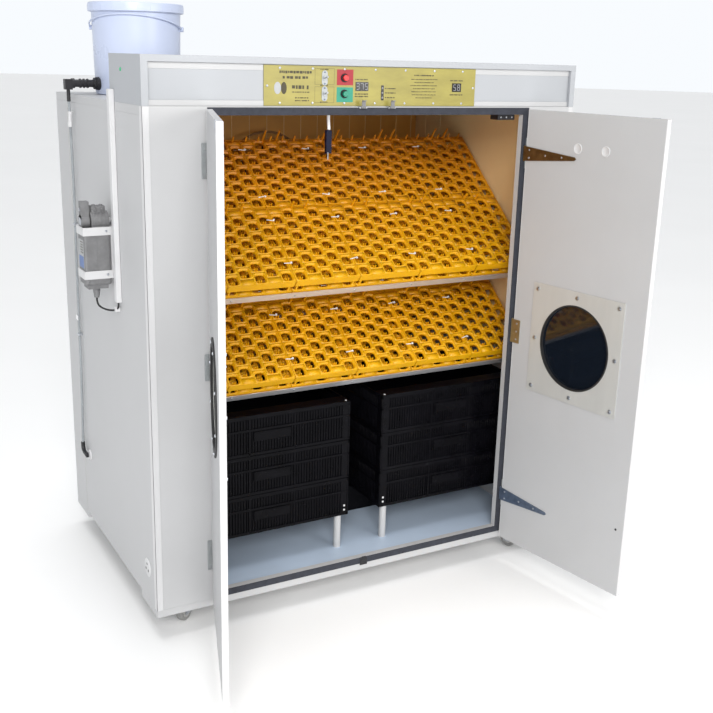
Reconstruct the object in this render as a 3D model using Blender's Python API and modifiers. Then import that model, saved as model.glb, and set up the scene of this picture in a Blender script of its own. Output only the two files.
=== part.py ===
"""Cabinet egg incubator: two tilting egg racks over a hatcher, double doors, water pail.

Units are metres and +Z is up.  The origin is the centre of the floor board's underside.
The front looks along -Y.  The doors stand open and the racks lean forward, as in use.
"""
import math

import bmesh
import bpy
from mathutils import Matrix, Vector

# ---------------------------------------------------------------- driving dimensions
WIDTH = 1.500
DEPTH = 0.970
HEIGHT = 1.531            # floor underside to roof top
GAP = 0.0003              # clearance between touching pieces
HALF = WIDTH / 2
FRONT = -DEPTH / 2
BACK = DEPTH / 2

WALL = 0.040              # insulated side and rear panels
ROOF = 0.025
FLOOR = 0.016
FRAME_T = 0.022           # front frame thickness
OPEN_X = 0.5405           # half width of the doorway
OPEN_Z0 = 0.022
OPEN_Z1 = 1.506
RAIL_DEPTH = 0.160        # boards under the floor that carry the castors
RAIL_DROP = 0.024

SEAL_W = 0.022
SEAL_T = 0.0025

FASCIA_H = 0.135
FASCIA_DEPTH = 0.300
BOARD = 0.016
RECESS = 0.012            # depth of the fascia's front channel
CHANNEL_END = 0.020
CHANNEL_TOP = 0.018

HINGE_X = 0.552           # door axes, left and right of centre
HINGE_OUT = 0.0075        # door axes, in front of the front frame
DOOR_EDGE = 0.0085        # hinge axis to the door's edge
DOOR_W = 0.542
DOOR_T = 0.017
DOOR_IN = -0.0015          # how far the inner face lies in front of the hinge axis
DOOR_Z0 = -0.014
DOOR_Z1 = 1.524
OPEN_LEFT = 108.6         # degrees open at rest
OPEN_RIGHT = 98.8

RACK_Y = FRONT + 0.347    # tilt axes
RACK_Z = (1.173, 0.853)   # upper and lower tilt axes
RACK_TILT = 40.5
RACK_HALF_X = 0.6975
RACK_HALF_U = 0.311
TRAY_TOP = 0.020
TRAY_T = 0.026
LAYER_DROP = 0.050
TRAYS_WIDE = 6
CELL_COLUMNS = 5
FRAME_BOTTOM = -0.060
LEVER_X = (-HALF - 0.0925, -HALF - 0.0690)   # lever clamped on the upper rack's shaft
ANGLE_T = 0.003
STUB_R = 0.008
LINK_U = 0.200            # link pins, measured along the rack and square to it
LINK_N = -0.047
PIN_R = 0.004

CRATE_W = 0.576
CRATE_D = 0.400
CRATE_H = 0.138
CRATE_PITCH = 0.1393
CRATE_X = (-0.313, 0.387)
CRATE_Y = FRONT + 0.300
CRATE_Z = 0.142
LEG_R = 0.0125

PAIL_X = -0.525
PAIL_Y = FRONT + 0.745
PAIL_R0 = 0.141
PAIL_R1 = 0.147
PAIL_H = 0.288
PAIL_T = 0.003

CASTOR_X = 0.650
CASTOR_Y = DEPTH / 2 - 0.080
CASTOR_H = 0.083
WHEEL_R = 0.0325
WHEEL_W = 0.024
TRAIL = 0.024


# ---------------------------------------------------------------- scene and materials
for old in list(bpy.data.objects):
    bpy.data.objects.remove(old, do_unlink=True)

parts = bpy.data.collections.new("egg_incubator")
tools = bpy.data.collections.new("cutters")
bpy.context.scene.collection.children.link(parts)
bpy.context.scene.collection.children.link(tools)


def material(name, color, roughness, metallic=0.0):
    mat = bpy.data.materials.new(name)
    mat.use_nodes = True
    shader = mat.node_tree.nodes["Principled BSDF"]
    shader.inputs["Base Color"].default_value = (*color, 1.0)
    shader.inputs["Roughness"].default_value = roughness
    shader.inputs["Metallic"].default_value = metallic
    return mat


WHITE = material("white_board", (0.80, 0.80, 0.81), 0.45)
EDGE = material("white_edging", (0.86, 0.86, 0.86), 0.40)
SEAL = material("slate_seal", (0.07, 0.08, 0.11), 0.80)
YELLOW_PLATE = material("control_plate", (0.82, 0.76, 0.28), 0.45)
TRAY_YELLOW = material("tray_plastic", (0.95, 0.62, 0.02), 0.40)
BLACK = material("black_plastic", (0.015, 0.015, 0.017), 0.50)
STEEL = material("zinc_steel", (0.42, 0.45, 0.50), 0.35, 0.9)
ALU = material("aluminium_angle", (0.72, 0.73, 0.76), 0.40, 0.8)
CAST = material("grey_casting", (0.36, 0.36, 0.36), 0.55, 0.4)
PAIL = material("pail_plastic", (0.85, 0.87, 0.92), 0.35)
RED = material("red_plastic", (0.65, 0.04, 0.03), 0.35)
GREEN = material("green_plastic", (0.02, 0.35, 0.24), 0.35)
GLASS = material("dark_glass", (0.06, 0.08, 0.10), 0.05)
GREY_TYRE = material("grey_tyre", (0.28, 0.28, 0.27), 0.60)
HOSE = material("clear_hose", (0.35, 0.37, 0.40), 0.30)


# ---------------------------------------------------------------- modelling helpers
def add_object(name, mesh, mat, parent=None, tool=False):
    obj = bpy.data.objects.new(name, mesh)
    mesh.materials.append(mat)
    if tool:
        tools.objects.link(obj)
        obj.hide_render = True
        obj.display_type = "WIRE"
    else:
        parts.objects.link(obj)
    if parent is not None:
        obj.parent = parent
    return obj


def pivot(name, place, rotation=(0.0, 0.0, 0.0), parent=None):
    """An empty on a joint axis; the pieces that move hang from it."""
    empty = bpy.data.objects.new(name, None)
    tools.objects.link(empty)
    empty.location = place
    empty.rotation_euler = rotation
    if parent is not None:
        empty.parent = parent
    return empty


def finish_mesh(name, bm, mat, parent=None, tool=False, smooth=False):
    mesh = bpy.data.meshes.new(name)
    bm.normal_update()
    bm.to_mesh(mesh)
    bm.free()
    if smooth:
        mesh.shade_smooth()
        mesh.set_sharp_from_angle(angle=math.radians(35))
    return add_object(name, mesh, mat, parent, tool)


def put_box(bm, lo, hi):
    size = [hi[i] - lo[i] for i in range(3)]
    centre = [(hi[i] + lo[i]) / 2 for i in range(3)]
    place = Matrix.Translation(centre) @ Matrix.Diagonal((*size, 1.0))
    bmesh.ops.create_cube(bm, size=1.0, matrix=place)


def put_rod(bm, start, end, radius, segments=20, radius_end=None):
    """A cylinder or cone from start to end."""
    a = Vector(start)
    b = Vector(end)
    turn = (b - a).to_track_quat("Z", "Y").to_matrix().to_4x4()
    place = Matrix.Translation((a + b) / 2) @ turn
    tip = radius if radius_end is None else radius_end
    bmesh.ops.create_cone(bm, cap_ends=True, segments=segments, radius1=radius,
                          radius2=tip, depth=(b - a).length, matrix=place)


def boxes(name, pairs, mat, parent=None, tool=False):
    bm = bmesh.new()
    for lo, hi in pairs:
        put_box(bm, lo, hi)
    return finish_mesh(name, bm, mat, parent, tool)


def rod(name, start, end, radius, mat, parent=None, tool=False, segments=20, radius_end=None):
    bm = bmesh.new()
    put_rod(bm, start, end, radius, segments, radius_end)
    return finish_mesh(name, bm, mat, parent, tool, smooth=True)


def boolean(obj, other, operation):
    mod = obj.modifiers.new(operation.lower(), "BOOLEAN")
    mod.operation = operation
    mod.object = other
    mod.solver = "EXACT"


def union(obj, *others):
    for other in others:
        boolean(obj, other, "UNION")


def cut(obj, *others):
    for other in others:
        boolean(obj, other, "DIFFERENCE")


def bevel(obj, width, segments=2, angle=40):
    mod = obj.modifiers.new("bevel", "BEVEL")
    mod.width = width
    mod.segments = segments
    mod.limit_method = "ANGLE"
    mod.angle_limit = math.radians(angle)


def turned(name, profile, place, mat, parent=None, steps=40):
    """A solid of revolution about Z; the profile is (radius, height) pairs."""
    bm = bmesh.new()
    verts = [bm.verts.new((r, 0.0, z)) for r, z in profile]
    for a, b in zip(verts, verts[1:]):
        bm.edges.new((a, b))
    obj = finish_mesh(name, bm, mat, parent)
    obj.location = place
    mod = obj.modifiers.new("turn", "SCREW")
    mod.steps = steps
    mod.render_steps = steps
    mod.use_merge_vertices = True
    mod.merge_threshold = 0.00001
    mod.use_smooth_shade = True
    return obj


def smooth_route(points, spacing):
    """Points at an even spacing along a Catmull-Rom curve through the given points."""
    pts = [Vector(p) for p in points]
    pts = [pts[0] * 2 - pts[1]] + pts + [pts[-1] * 2 - pts[-2]]
    fine = []
    for i in range(1, len(pts) - 2):
        p0, p1, p2, p3 = pts[i - 1:i + 3]
        for k in range(24):
            t = k / 24
            fine.append(0.5 * (2 * p1 + (p2 - p0) * t + (2 * p0 - 5 * p1 + 4 * p2 - p3) * t * t
                               + (3 * p1 - p0 - 3 * p2 + p3) * t ** 3))
    fine.append(pts[-2])
    total = sum((b - a).length for a, b in zip(fine, fine[1:]))
    count = max(4, round(total / spacing))
    out = [fine[0]]
    travelled = 0.0
    for a, b in zip(fine, fine[1:]):
        step = (b - a).length
        while len(out) < count and travelled + step >= total * len(out) / count:
            want = total * len(out) / count - travelled
            out.append(a.lerp(b, want / step))
        travelled += step
    out.append(fine[-1])
    return out


def tube(name, points, radius, mat, parent=None, resolution=2):
    curve = bpy.data.curves.new(name, "CURVE")
    curve.dimensions = "3D"
    curve.bevel_depth = radius
    curve.bevel_resolution = resolution
    curve.use_fill_caps = True
    spline = curve.splines.new("POLY")
    spline.points.add(len(points) - 1)
    for point, place in zip(spline.points, points):
        point.co = (*place, 1.0)
    return add_object(name, curve, mat, parent)


def curve_to_mesh(obj, tool=False):
    """Turn a tube into a welded mesh object, so that it can be cut or joined."""
    graph = bpy.context.evaluated_depsgraph_get()
    mesh = bpy.data.meshes.new_from_object(obj.evaluated_get(graph))
    bm = bmesh.new()
    bm.from_mesh(mesh)
    bmesh.ops.remove_doubles(bm, verts=bm.verts, dist=0.00001)
    bmesh.ops.recalc_face_normals(bm, faces=bm.faces)
    bm.to_mesh(mesh)
    bm.free()
    name = obj.name
    mat = obj.data.materials[0]
    place = obj.matrix_world.copy()
    bpy.data.objects.remove(obj, do_unlink=True)
    mesh.materials.clear()
    new = add_object(name, mesh, mat, tool=tool)
    new.matrix_world = place
    return new


# ---------------------------------------------------------------- cabinet shell
INNER_X = HALF - WALL
INNER_BACK = BACK - WALL
FRAME_BACK = FRONT + FRAME_T


def build_shell():
    floor = boxes("floor_board", [((-INNER_X + GAP, FRAME_BACK + GAP, 0.0),
                                   (INNER_X - GAP, INNER_BACK - GAP, FLOOR))], WHITE)
    for side, y0, y1 in (("front", FRONT, FRONT + RAIL_DEPTH), ("rear", BACK - RAIL_DEPTH, BACK)):
        rail = boxes(f"{side}_rail", [((-HALF, y0, -RAIL_DROP), (HALF, y1, -GAP))], WHITE, tool=True)
        inner0 = max(y0, FRAME_BACK + GAP)
        inner1 = min(y1, INNER_BACK - GAP)
        neck = boxes(f"{side}_neck", [((-INNER_X + GAP, inner0, -RAIL_DROP / 2),
                                       (INNER_X - GAP, inner1, FLOOR / 2))], WHITE, tool=True)
        union(floor, rail, neck)
    for stack_x in CRATE_X:
        for sx in (-1, 1):
            for sy in (-1, 1):
                x = stack_x + sx * (CRATE_W / 2 - 0.030)
                y = CRATE_Y + sy * (CRATE_D / 2 - 0.022)
                leg = rod("crate_leg", (x, y, FLOOR / 2), (x, y, CRATE_Z - GAP), LEG_R,
                          WHITE, tool=True, segments=16)
                union(floor, leg)

    boxes("roof_panel", [((-HALF, FRAME_BACK + GAP, HEIGHT - ROOF), (HALF, BACK, HEIGHT))], WHITE)
    boxes("rear_panel", [((-INNER_X + GAP, INNER_BACK, 0.0),
                          (INNER_X - GAP, BACK, HEIGHT - ROOF - GAP))], WHITE)
    for side, sign in (("left", -1), ("right", 1)):
        xs = sorted((sign * INNER_X, sign * HALF))
        panel = boxes(f"side_panel_{side}", [((xs[0], FRAME_BACK + GAP, 0.0),
                                              (xs[1], BACK, HEIGHT - ROOF - GAP))], WHITE)
        for number, z in enumerate(RACK_Z):
            through = side == "left" and number == 0
            depth = WALL + 0.01 if through else 0.024
            a = (sign * (INNER_X - 0.01), RACK_Y, z)
            b = (sign * (INNER_X + depth), RACK_Y, z)
            hole = rod(f"stub_bore_{side}_{number}", a, b, STUB_R + 0.0004, WHITE, tool=True)
            cut(panel, hole)
    frame = boxes("front_frame", [((-HALF, FRONT, 0.0), (HALF, FRAME_BACK, HEIGHT))], WHITE)
    doorway = boxes("doorway", [((-OPEN_X, FRONT - 0.01, OPEN_Z0),
                                 (OPEN_X, FRAME_BACK + 0.01, OPEN_Z1))], WHITE, tool=True)
    cut(frame, doorway)

    y0 = FRONT - SEAL_T - GAP
    seal = boxes("door_seal", [((-OPEN_X - SEAL_W, y0, OPEN_Z0 - SEAL_W + GAP),
                                (OPEN_X + SEAL_W, FRONT - GAP, OPEN_Z1 + SEAL_W))], SEAL)
    seal_hole = boxes("seal_hole", [((-OPEN_X, y0 - 0.01, OPEN_Z0), (OPEN_X, FRONT + 0.01, OPEN_Z1))],
                      SEAL, tool=True)
    cut(seal, seal_hole)


# ---------------------------------------------------------------- fascia and controls
PLATE_X = (-0.387, 0.347)
PLATE_Y = FRONT + 0.0087
PLATE_T = 0.003


def build_fascia():
    z0 = HEIGHT + GAP
    z1 = HEIGHT + FASCIA_H
    y1 = FRONT + FASCIA_DEPTH
    body = boxes("fascia_housing", [((-HALF, FRONT, z0), (HALF, y1, z1))], WHITE)
    cavity = boxes("fascia_cavity", [((-HALF + BOARD, FRONT + RECESS + BOARD, z0 - 0.01),
                                      (HALF - BOARD, y1 - BOARD, z1 - BOARD))], WHITE, tool=True)
    channel = boxes("fascia_channel", [((-HALF + CHANNEL_END, FRONT - 0.01, z0 - 0.01),
                                        (HALF - CHANNEL_END, FRONT + RECESS, z1 - CHANNEL_TOP))],
                    WHITE, tool=True)
    cut(body, cavity, channel)

    plate = boxes("control_panel", [((PLATE_X[0], PLATE_Y, z0 + 0.001),
                                     (PLATE_X[1], PLATE_Y + PLATE_T, z1 - CHANNEL_TOP - 0.002))],
                  YELLOW_PLATE)
    face = PLATE_Y - GAP
    for name, x, z in (("upper", -0.192, HEIGHT + 0.081), ("lower", -0.192, HEIGHT + 0.036)):
        lever = pivot(f"toggle_axis_{name}", (x, face - 0.003, z), (math.radians(-14), 0, 0))
        stick = rod(f"toggle_switch_{name}", (0, 0, 0), (0, -0.017, 0), 0.0022, STEEL, lever,
                    segments=12, radius_end=0.0032)
        ball = rod(f"toggle_boss_{name}", (0, 0.0015, 0), (0, -0.0025, 0), 0.0026, STEEL, lever,
                   tool=True, segments=12)
        union(stick, ball)
    for name, z, mat in (("red", HEIGHT + 0.082, RED), ("green", HEIGHT + 0.036, GREEN)):
        button = rod(f"push_button_{name}", (-0.126, face - 0.004, z), (-0.126, face - 0.013, z),
                     0.0085, mat, segments=24)
        bevel(button, 0.001, 1)


# ---------------------------------------------------------------- door catches
CATCH_X = (-0.069, 0.032)


def build_catches():
    for side, x in (("left", CATCH_X[0]), ("right", CATCH_X[1])):
        axis = pivot(f"catch_axis_{side}", (x, FRONT - 0.0082, HEIGHT - 0.0015))
        hook = boxes(f"catch_{side}", [((-0.009, -0.0045, -0.0035), (0.009, 0.0035, 0.0035))],
                     STEEL, axis)
        arm = boxes(f"catch_arm_{side}", [((-0.006, -0.0045, 0.002), (0.006, -0.0025, 0.020))],
                    STEEL, axis, tool=True)
        lip = boxes(f"catch_lip_{side}", [((-0.006, -0.0120, 0.018), (0.006, -0.0030, 0.020))],
                    STEEL, axis, tool=True)
        union(hook, arm, lip)


# ---------------------------------------------------------------- doors
STRAP_Z = (1.381, 0.773, 0.156)
STRAP_T = 0.0025
WINDOW_FROM_AXIS = 0.2805
WINDOW_Z = 0.772
WINDOW_R = 0.145          # hole in the door
WINDOW_BORE = 0.141       # hole in the frame
FLANGE_R = 0.164
FLANGE_T = 0.003
WINDOW_PLATE = 0.190


def outline(name, points, thickness, mat, parent, tool=False):
    """A flat plate from a 2D outline in X and Z, thickness along Y towards -Y from 0."""
    bm = bmesh.new()
    verts = [bm.verts.new((x, 0.0, z)) for x, z in points]
    face = bm.faces.new(verts)
    grown = bmesh.ops.extrude_face_region(bm, geom=[face])
    moved = [v for v in grown["geom"] if isinstance(v, bmesh.types.BMVert)]
    bmesh.ops.translate(bm, verts=moved, vec=(0.0, -thickness, 0.0))
    bmesh.ops.recalc_face_normals(bm, faces=bm.faces)
    return finish_mesh(name, bm, mat, parent, tool)


def build_hinge(side, level, s, z, axis):
    """Barrel on the door axis with its leaf on the door's inner face."""
    inner = -DOOR_IN + GAP + STRAP_T
    tall = 0.041 if level == "middle" else 0.0235
    barrel = rod(f"hinge_{side}_{level}", (0, 0, z - tall), (0, 0, z + tall), 0.0040, STEEL, axis,
                 segments=16)
    if level == "middle":
        points = [(0.0, z - tall), (s * 0.038, z - tall), (s * 0.038, z + tall), (0.0, z + tall)]
    else:
        points = [(0.0, z - tall), (s * 0.012, z - tall), (s * 0.218, z - 0.0055), (s * 0.224, z),
                  (s * 0.218, z + 0.0055), (s * 0.012, z + tall), (0.0, z + tall)]
    leaf = outline(f"leaf_{side}_{level}", points, STRAP_T, STEEL, axis, tool=True)
    leaf.location = (0, inner, 0)
    union(barrel, leaf)


def build_door(side, s, angle):
    axis = pivot(f"door_axis_{side}", (-s * HINGE_X, FRONT - HINGE_OUT, 0.0),
                 (0, 0, math.radians(-s * angle)))
    xs = sorted((s * DOOR_EDGE, s * (DOOR_EDGE + DOOR_W)))
    door = boxes(f"door_{side}", [((xs[0], -DOOR_IN - DOOR_T, DOOR_Z0), (xs[1], -DOOR_IN, DOOR_Z1))],
                 WHITE, axis)
    for level, z in zip(("top", "middle", "bottom"), STRAP_Z):
        build_hinge(side, level, s, z, axis)
    build_window(side, door, s, axis)


def build_window(side, door, s, axis):
    """Round pane in a frame: square plate inside, sleeve through the door, round flange outside."""
    x = s * WINDOW_FROM_AXIS
    outer = -DOOR_IN - DOOR_T
    hole = rod(f"window_hole_{side}", (x, outer - 0.01, WINDOW_Z), (x, 0.01, WINDOW_Z), WINDOW_R,
               WHITE, axis, tool=True, segments=48)
    cut(door, hole)
    rod(f"window_glass_{side}", (x, outer + 0.004, WINDOW_Z), (x, outer + 0.010, WINDOW_Z),
        WINDOW_BORE - GAP, GLASS, axis, segments=48)
    y0 = -DOOR_IN + GAP
    y1 = outer - GAP
    frame = boxes(f"window_frame_{side}", [((x - WINDOW_PLATE, y0, WINDOW_Z - WINDOW_PLATE),
                                            (x + WINDOW_PLATE, y0 + 0.0025, WINDOW_Z + WINDOW_PLATE))],
                  EDGE, axis)
    sleeve = rod(f"window_sleeve_{side}", (x, y1 - 0.002, WINDOW_Z), (x, y0 + 0.001, WINDOW_Z),
                 WINDOW_R - 0.0006, EDGE, axis, tool=True, segments=48)
    flange = rod(f"window_flange_{side}", (x, y1 - FLANGE_T, WINDOW_Z), (x, y1, WINDOW_Z), FLANGE_R,
                 EDGE, axis, tool=True, segments=48)
    union(frame, sleeve, flange)
    bore = rod(f"window_bore_{side}", (x, y1 - 0.02, WINDOW_Z), (x, y0 + 0.02, WINDOW_Z),
               WINDOW_BORE, EDGE, axis, tool=True, segments=48)
    cut(frame, bore)


# ---------------------------------------------------------------- tilting racks
def build_rack(level, z):
    axis = pivot(f"rack_axis_{level}", (0.0, RACK_Y, z), (math.radians(RACK_TILT), 0, 0))
    hx = RACK_HALF_X + 0.001
    hu = RACK_HALF_U + 0.0015
    low = FRAME_BOTTOM
    high = low + 0.025
    frame = boxes(f"rack_frame_{level}", [((-hx - ANGLE_T, -hu - ANGLE_T, low),
                                           (hx + ANGLE_T, -hu, high))], ALU, axis)
    members = [
        ((-hx - ANGLE_T, hu, low), (hx + ANGLE_T, hu + ANGLE_T, high)),
        ((-hx - ANGLE_T, -hu - 0.001, low), (hx + ANGLE_T, -hu + 0.022, low + ANGLE_T)),
        ((-hx - ANGLE_T, hu - 0.022, low), (hx + ANGLE_T, hu + 0.001, low + ANGLE_T)),
        ((-hx - ANGLE_T, -0.020, low), (hx + ANGLE_T, 0.020, low + ANGLE_T)),
    ]
    for sx in (-1, 1):
        xs = sorted((sx * hx, sx * (hx + ANGLE_T)))
        foot = sorted((sx * (hx - 0.020), sx * (hx + 0.001)))
        members.append(((xs[0], -hu - 0.001, low), (xs[1], hu + 0.001, high)))
        members.append(((foot[0], -hu - 0.001, low), (foot[1], hu + 0.001, low + ANGLE_T)))
        members.append(((xs[0], -0.022, low), (xs[1], 0.022, 0.014)))
    for number, (lo, hi) in enumerate(members):
        piece = boxes(f"rack_member_{level}_{number}", [(lo, hi)], ALU, axis, tool=True)
        union(frame, piece)
    right = rod(f"rack_stub_right_{level}", (hx + 0.001, 0, 0), (INNER_X + 0.020, 0, 0), STUB_R,
                ALU, axis, tool=True)
    reach = -HALF - 0.0930 if level == "upper" else -INNER_X - 0.020
    left = rod(f"rack_stub_left_{level}", (-hx - 0.001, 0, 0), (reach, 0, 0), STUB_R, ALU, axis,
               tool=True)
    union(frame, right, left)
    if level == "upper":
        upright = pivot("clamp_upright", (0, 0, 0), (math.radians(-RACK_TILT), 0, 0), axis)
        clamp = boxes("shaft_clamp", [((LEVER_X[0], -0.014, 0.0), (LEVER_X[1], 0.014, 0.060))], ALU,
                      upright, tool=True)
        collar = rod("shaft_collar", (LEVER_X[0], 0, 0), (LEVER_X[1], 0, 0), 0.021, ALU, upright,
                     tool=True, segments=24)
        union(frame, clamp, collar)
        pin = rod("link_pin", (hx + 0.001, LINK_U, LINK_N), (INNER_X - 0.0015, LINK_U, LINK_N),
                  PIN_R, ALU, axis, tool=True, segments=16)
        union(frame, pin)
    else:
        pin = rod("link_pin_lower", (hx + 0.001, LINK_U, LINK_N), (INNER_X - 0.0015, LINK_U, LINK_N),
                  PIN_R - 0.001, ALU, axis, tool=True, segments=16)
        union(frame, pin)
    build_trays(level, axis)


def build_trays(level, axis):
    """Two layers of setting trays in one stack; each slot stands for a column of egg cells."""
    top = TRAY_TOP
    lower_top = TRAY_TOP - LAYER_DROP
    floor_gap = FRAME_BOTTOM + ANGLE_T + GAP
    stack = boxes(f"egg_trays_{level}", [((-RACK_HALF_X, -RACK_HALF_U, top - TRAY_T),
                                          (RACK_HALF_X, RACK_HALF_U, top))], TRAY_YELLOW, axis)
    base = boxes(f"egg_trays_base_{level}", [((-RACK_HALF_X, -RACK_HALF_U, floor_gap),
                                              (RACK_HALF_X, RACK_HALF_U, lower_top))],
                 TRAY_YELLOW, axis, tool=True)
    union(stack, base)
    pitch = 2 * RACK_HALF_X / TRAYS_WIDE
    column = (pitch - 0.006) / CELL_COLUMNS
    slots = []
    for tray in range(TRAYS_WIDE):
        x0 = -RACK_HALF_X + tray * pitch + 0.003
        for col in range(CELL_COLUMNS):
            a = x0 + col * column + 0.0045
            b = x0 + (col + 1) * column - 0.0045
            for v0, v1 in ((-RACK_HALF_U + 0.008, -0.006), (0.006, RACK_HALF_U - 0.008)):
                slots.append(((a, v0, floor_gap - 0.005), (b, v1, top + 0.005)))
    slot_tool = boxes(f"tray_slots_{level}", slots, TRAY_YELLOW, axis, tool=True)
    cut(stack, slot_tool)
    for tray in range(TRAYS_WIDE + 1):
        x = min(max(-RACK_HALF_X + tray * pitch, -RACK_HALF_X + 0.004), RACK_HALF_X - 0.004)
        post = boxes(f"tray_post_{level}_{tray}", [((x - 0.0035, -0.004, lower_top - 0.004),
                                                    (x + 0.0035, 0.004, top - TRAY_T + 0.004))],
                     TRAY_YELLOW, axis, tool=True)
        union(stack, post)


def build_link():
    """Upright bar that makes the lower rack follow the upper one."""
    tilt = math.radians(RACK_TILT)
    dy = LINK_U * math.cos(tilt) - LINK_N * math.sin(tilt)
    dz = LINK_U * math.sin(tilt) + LINK_N * math.cos(tilt)
    x0 = RACK_HALF_X + 0.001 + ANGLE_T + 0.0012
    x1 = x0 + 0.003
    axis = pivot("link_axis", (0.0, RACK_Y + dy, RACK_Z[0] + dz))
    drop = RACK_Z[0] - RACK_Z[1]
    bar = boxes("link_bar", [((x0, -0.010, -drop - 0.014), (x1, 0.010, 0.014))], ALU, axis)
    upper = rod("link_hole_upper", (x0 - 0.01, 0, 0), (x1 + 0.01, 0, 0), PIN_R + 0.0004, ALU, axis,
                tool=True, segments=16)
    lower = rod("link_hole_lower", (x0 - 0.01, 0, -drop), (x1 + 0.01, 0, -drop), PIN_R + 0.0004,
                ALU, axis, tool=True, segments=16)
    cut(bar, upper, lower)


# ---------------------------------------------------------------- hatcher crates
def build_crates():
    for side, x in (("left", CRATE_X[0]), ("right", CRATE_X[1])):
        for number, level in enumerate(("bottom", "middle", "top")):
            z = CRATE_Z + number * CRATE_PITCH
            crate = boxes(f"crate_{side}_{level}",
                          [((x - CRATE_W / 2, CRATE_Y - CRATE_D / 2, z),
                            (x + CRATE_W / 2, CRATE_Y + CRATE_D / 2, z + CRATE_H))], BLACK)
            inside = boxes(f"crate_inside_{side}_{level}",
                           [((x - CRATE_W / 2 + 0.004, CRATE_Y - CRATE_D / 2 + 0.004, z + 0.004),
                             (x + CRATE_W / 2 - 0.004, CRATE_Y + CRATE_D / 2 - 0.004,
                              z + CRATE_H + 0.01))], BLACK, tool=True)
            cut(crate, inside)


# ---------------------------------------------------------------- tilt motor
MOTOR_X = (-HALF - 0.094, -HALF - 0.012)
MOTOR_HALF_Y = 0.036
MOTOR_Z = (RACK_Z[0] - 0.207, RACK_Z[0] - 0.012)
STRAP_DROP = (0.040, 0.174)  # bottom edges of the straps, below the upper tilt axis
LEAD = [(-0.803, -0.138, 0.9335), (-0.803, -0.1385, 0.922), (-0.799, -0.145, 0.908),
        (-0.785, -0.160, 0.899), (-0.770, -0.180, 0.898), (-0.760, -0.200, 0.904),
        (-0.758, -0.214, 0.916), (-0.758, -0.216, 0.930)]
DUCT_Y = (FRONT + 0.256, FRONT + 0.282)
DUCT_Z = (0.931, 1.566)


def build_motor():
    x0, x1 = MOTOR_X
    z0, z1 = MOTOR_Z
    body = boxes("actuator_housing", [((x0, RACK_Y - MOTOR_HALF_Y, z0 + 0.012),
                                       (x1, RACK_Y + MOTOR_HALF_Y, z1))], CAST)
    bevel(body, 0.007, 2)
    head_x = LEVER_X[1] + 0.0025
    head = rod("actuator_head", (head_x, RACK_Y, RACK_Z[0]), (x1, RACK_Y, RACK_Z[0]), 0.030,
               CAST, tool=True, segments=28)
    lug = boxes("actuator_lug", [((head_x + 0.004, RACK_Y - 0.016, RACK_Z[0] + 0.005),
                                  (x1 - 0.008, RACK_Y + 0.016, RACK_Z[0] + 0.046))], CAST, tool=True)
    foot = boxes("actuator_foot", [((x0 + 0.010, RACK_Y - 0.028, z0),
                                    (x1 - 0.010, RACK_Y + 0.028, z0 + 0.02))], CAST, tool=True)
    gland = rod("actuator_gland", (-0.803, RACK_Y, z0 + 0.01), (-0.803, RACK_Y, z0 - 0.032), 0.014,
                CAST, tool=True, segments=16, radius_end=0.008)
    union(body, head, lug, foot, gland)
    bore = rod("actuator_bore", (x0 - 0.02, RACK_Y, RACK_Z[0]), (x1 + 0.02, RACK_Y, RACK_Z[0]),
               STUB_R + 0.0005, CAST, tool=True, segments=20)
    notch = boxes("actuator_notch", [((x0 - 0.01, RACK_Y - 0.050, RACK_Z[0] - 0.024),
                                      (head_x, RACK_Y + 0.050, RACK_Z[0] + 0.080))], CAST, tool=True)
    cut(body, bore, notch)

    straps = []
    for drop in STRAP_DROP:
        z = RACK_Z[0] - drop
        straps.append(((x0 - 0.003, RACK_Y - MOTOR_HALF_Y - 0.003, z),
                       (-HALF - 0.001, RACK_Y + MOTOR_HALF_Y + 0.003, z + 0.025)))
    bracket = boxes("actuator_bracket",
                    [((x1 + GAP, RACK_Y - MOTOR_HALF_Y - 0.003, RACK_Z[0] - STRAP_DROP[1]),
                      (-HALF - GAP, RACK_Y + MOTOR_HALF_Y + 0.003, RACK_Z[0] - STRAP_DROP[0] + 0.025))],
                    EDGE)
    for number, (lo, hi) in enumerate(straps):
        piece = boxes(f"bracket_strap_{number}", [(lo, hi)], EDGE, tool=True)
        union(bracket, piece)
    pocket = boxes("bracket_pocket", [((x0 - GAP, RACK_Y - MOTOR_HALF_Y - GAP, z0 - 0.05),
                                       (x1 + GAP, RACK_Y + MOTOR_HALF_Y + GAP, z1 + 0.05))], EDGE,
                   tool=True)
    cut(bracket, pocket)

    duct = boxes("cable_duct", [((-HALF - 0.016, DUCT_Y[0], DUCT_Z[0]),
                                 (-HALF - GAP, DUCT_Y[1], DUCT_Z[1]))], EDGE)
    bevel(duct, 0.0015, 1)
    tube("motor_lead", smooth_route(LEAD, 0.009), 0.003, BLACK)


# ---------------------------------------------------------------- water supply
HOSE_ROUTE = [(-0.767, 0.240, 1.509), (-0.766, 0.243, 1.470), (-0.762, 0.256, 1.380),
              (-0.760, 0.262, 1.240), (-0.759, 0.270, 1.120), (-0.759, 0.280, 0.980),
              (-0.759, 0.288, 0.760), (-0.759, 0.296, 0.540), (-0.760, 0.304, 0.380),
              (-0.762, 0.308, 0.290)]


EAR_Z = 0.215
BAIL_ACROSS = Vector((0.871, -0.491, 0.0)).normalized()


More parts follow.
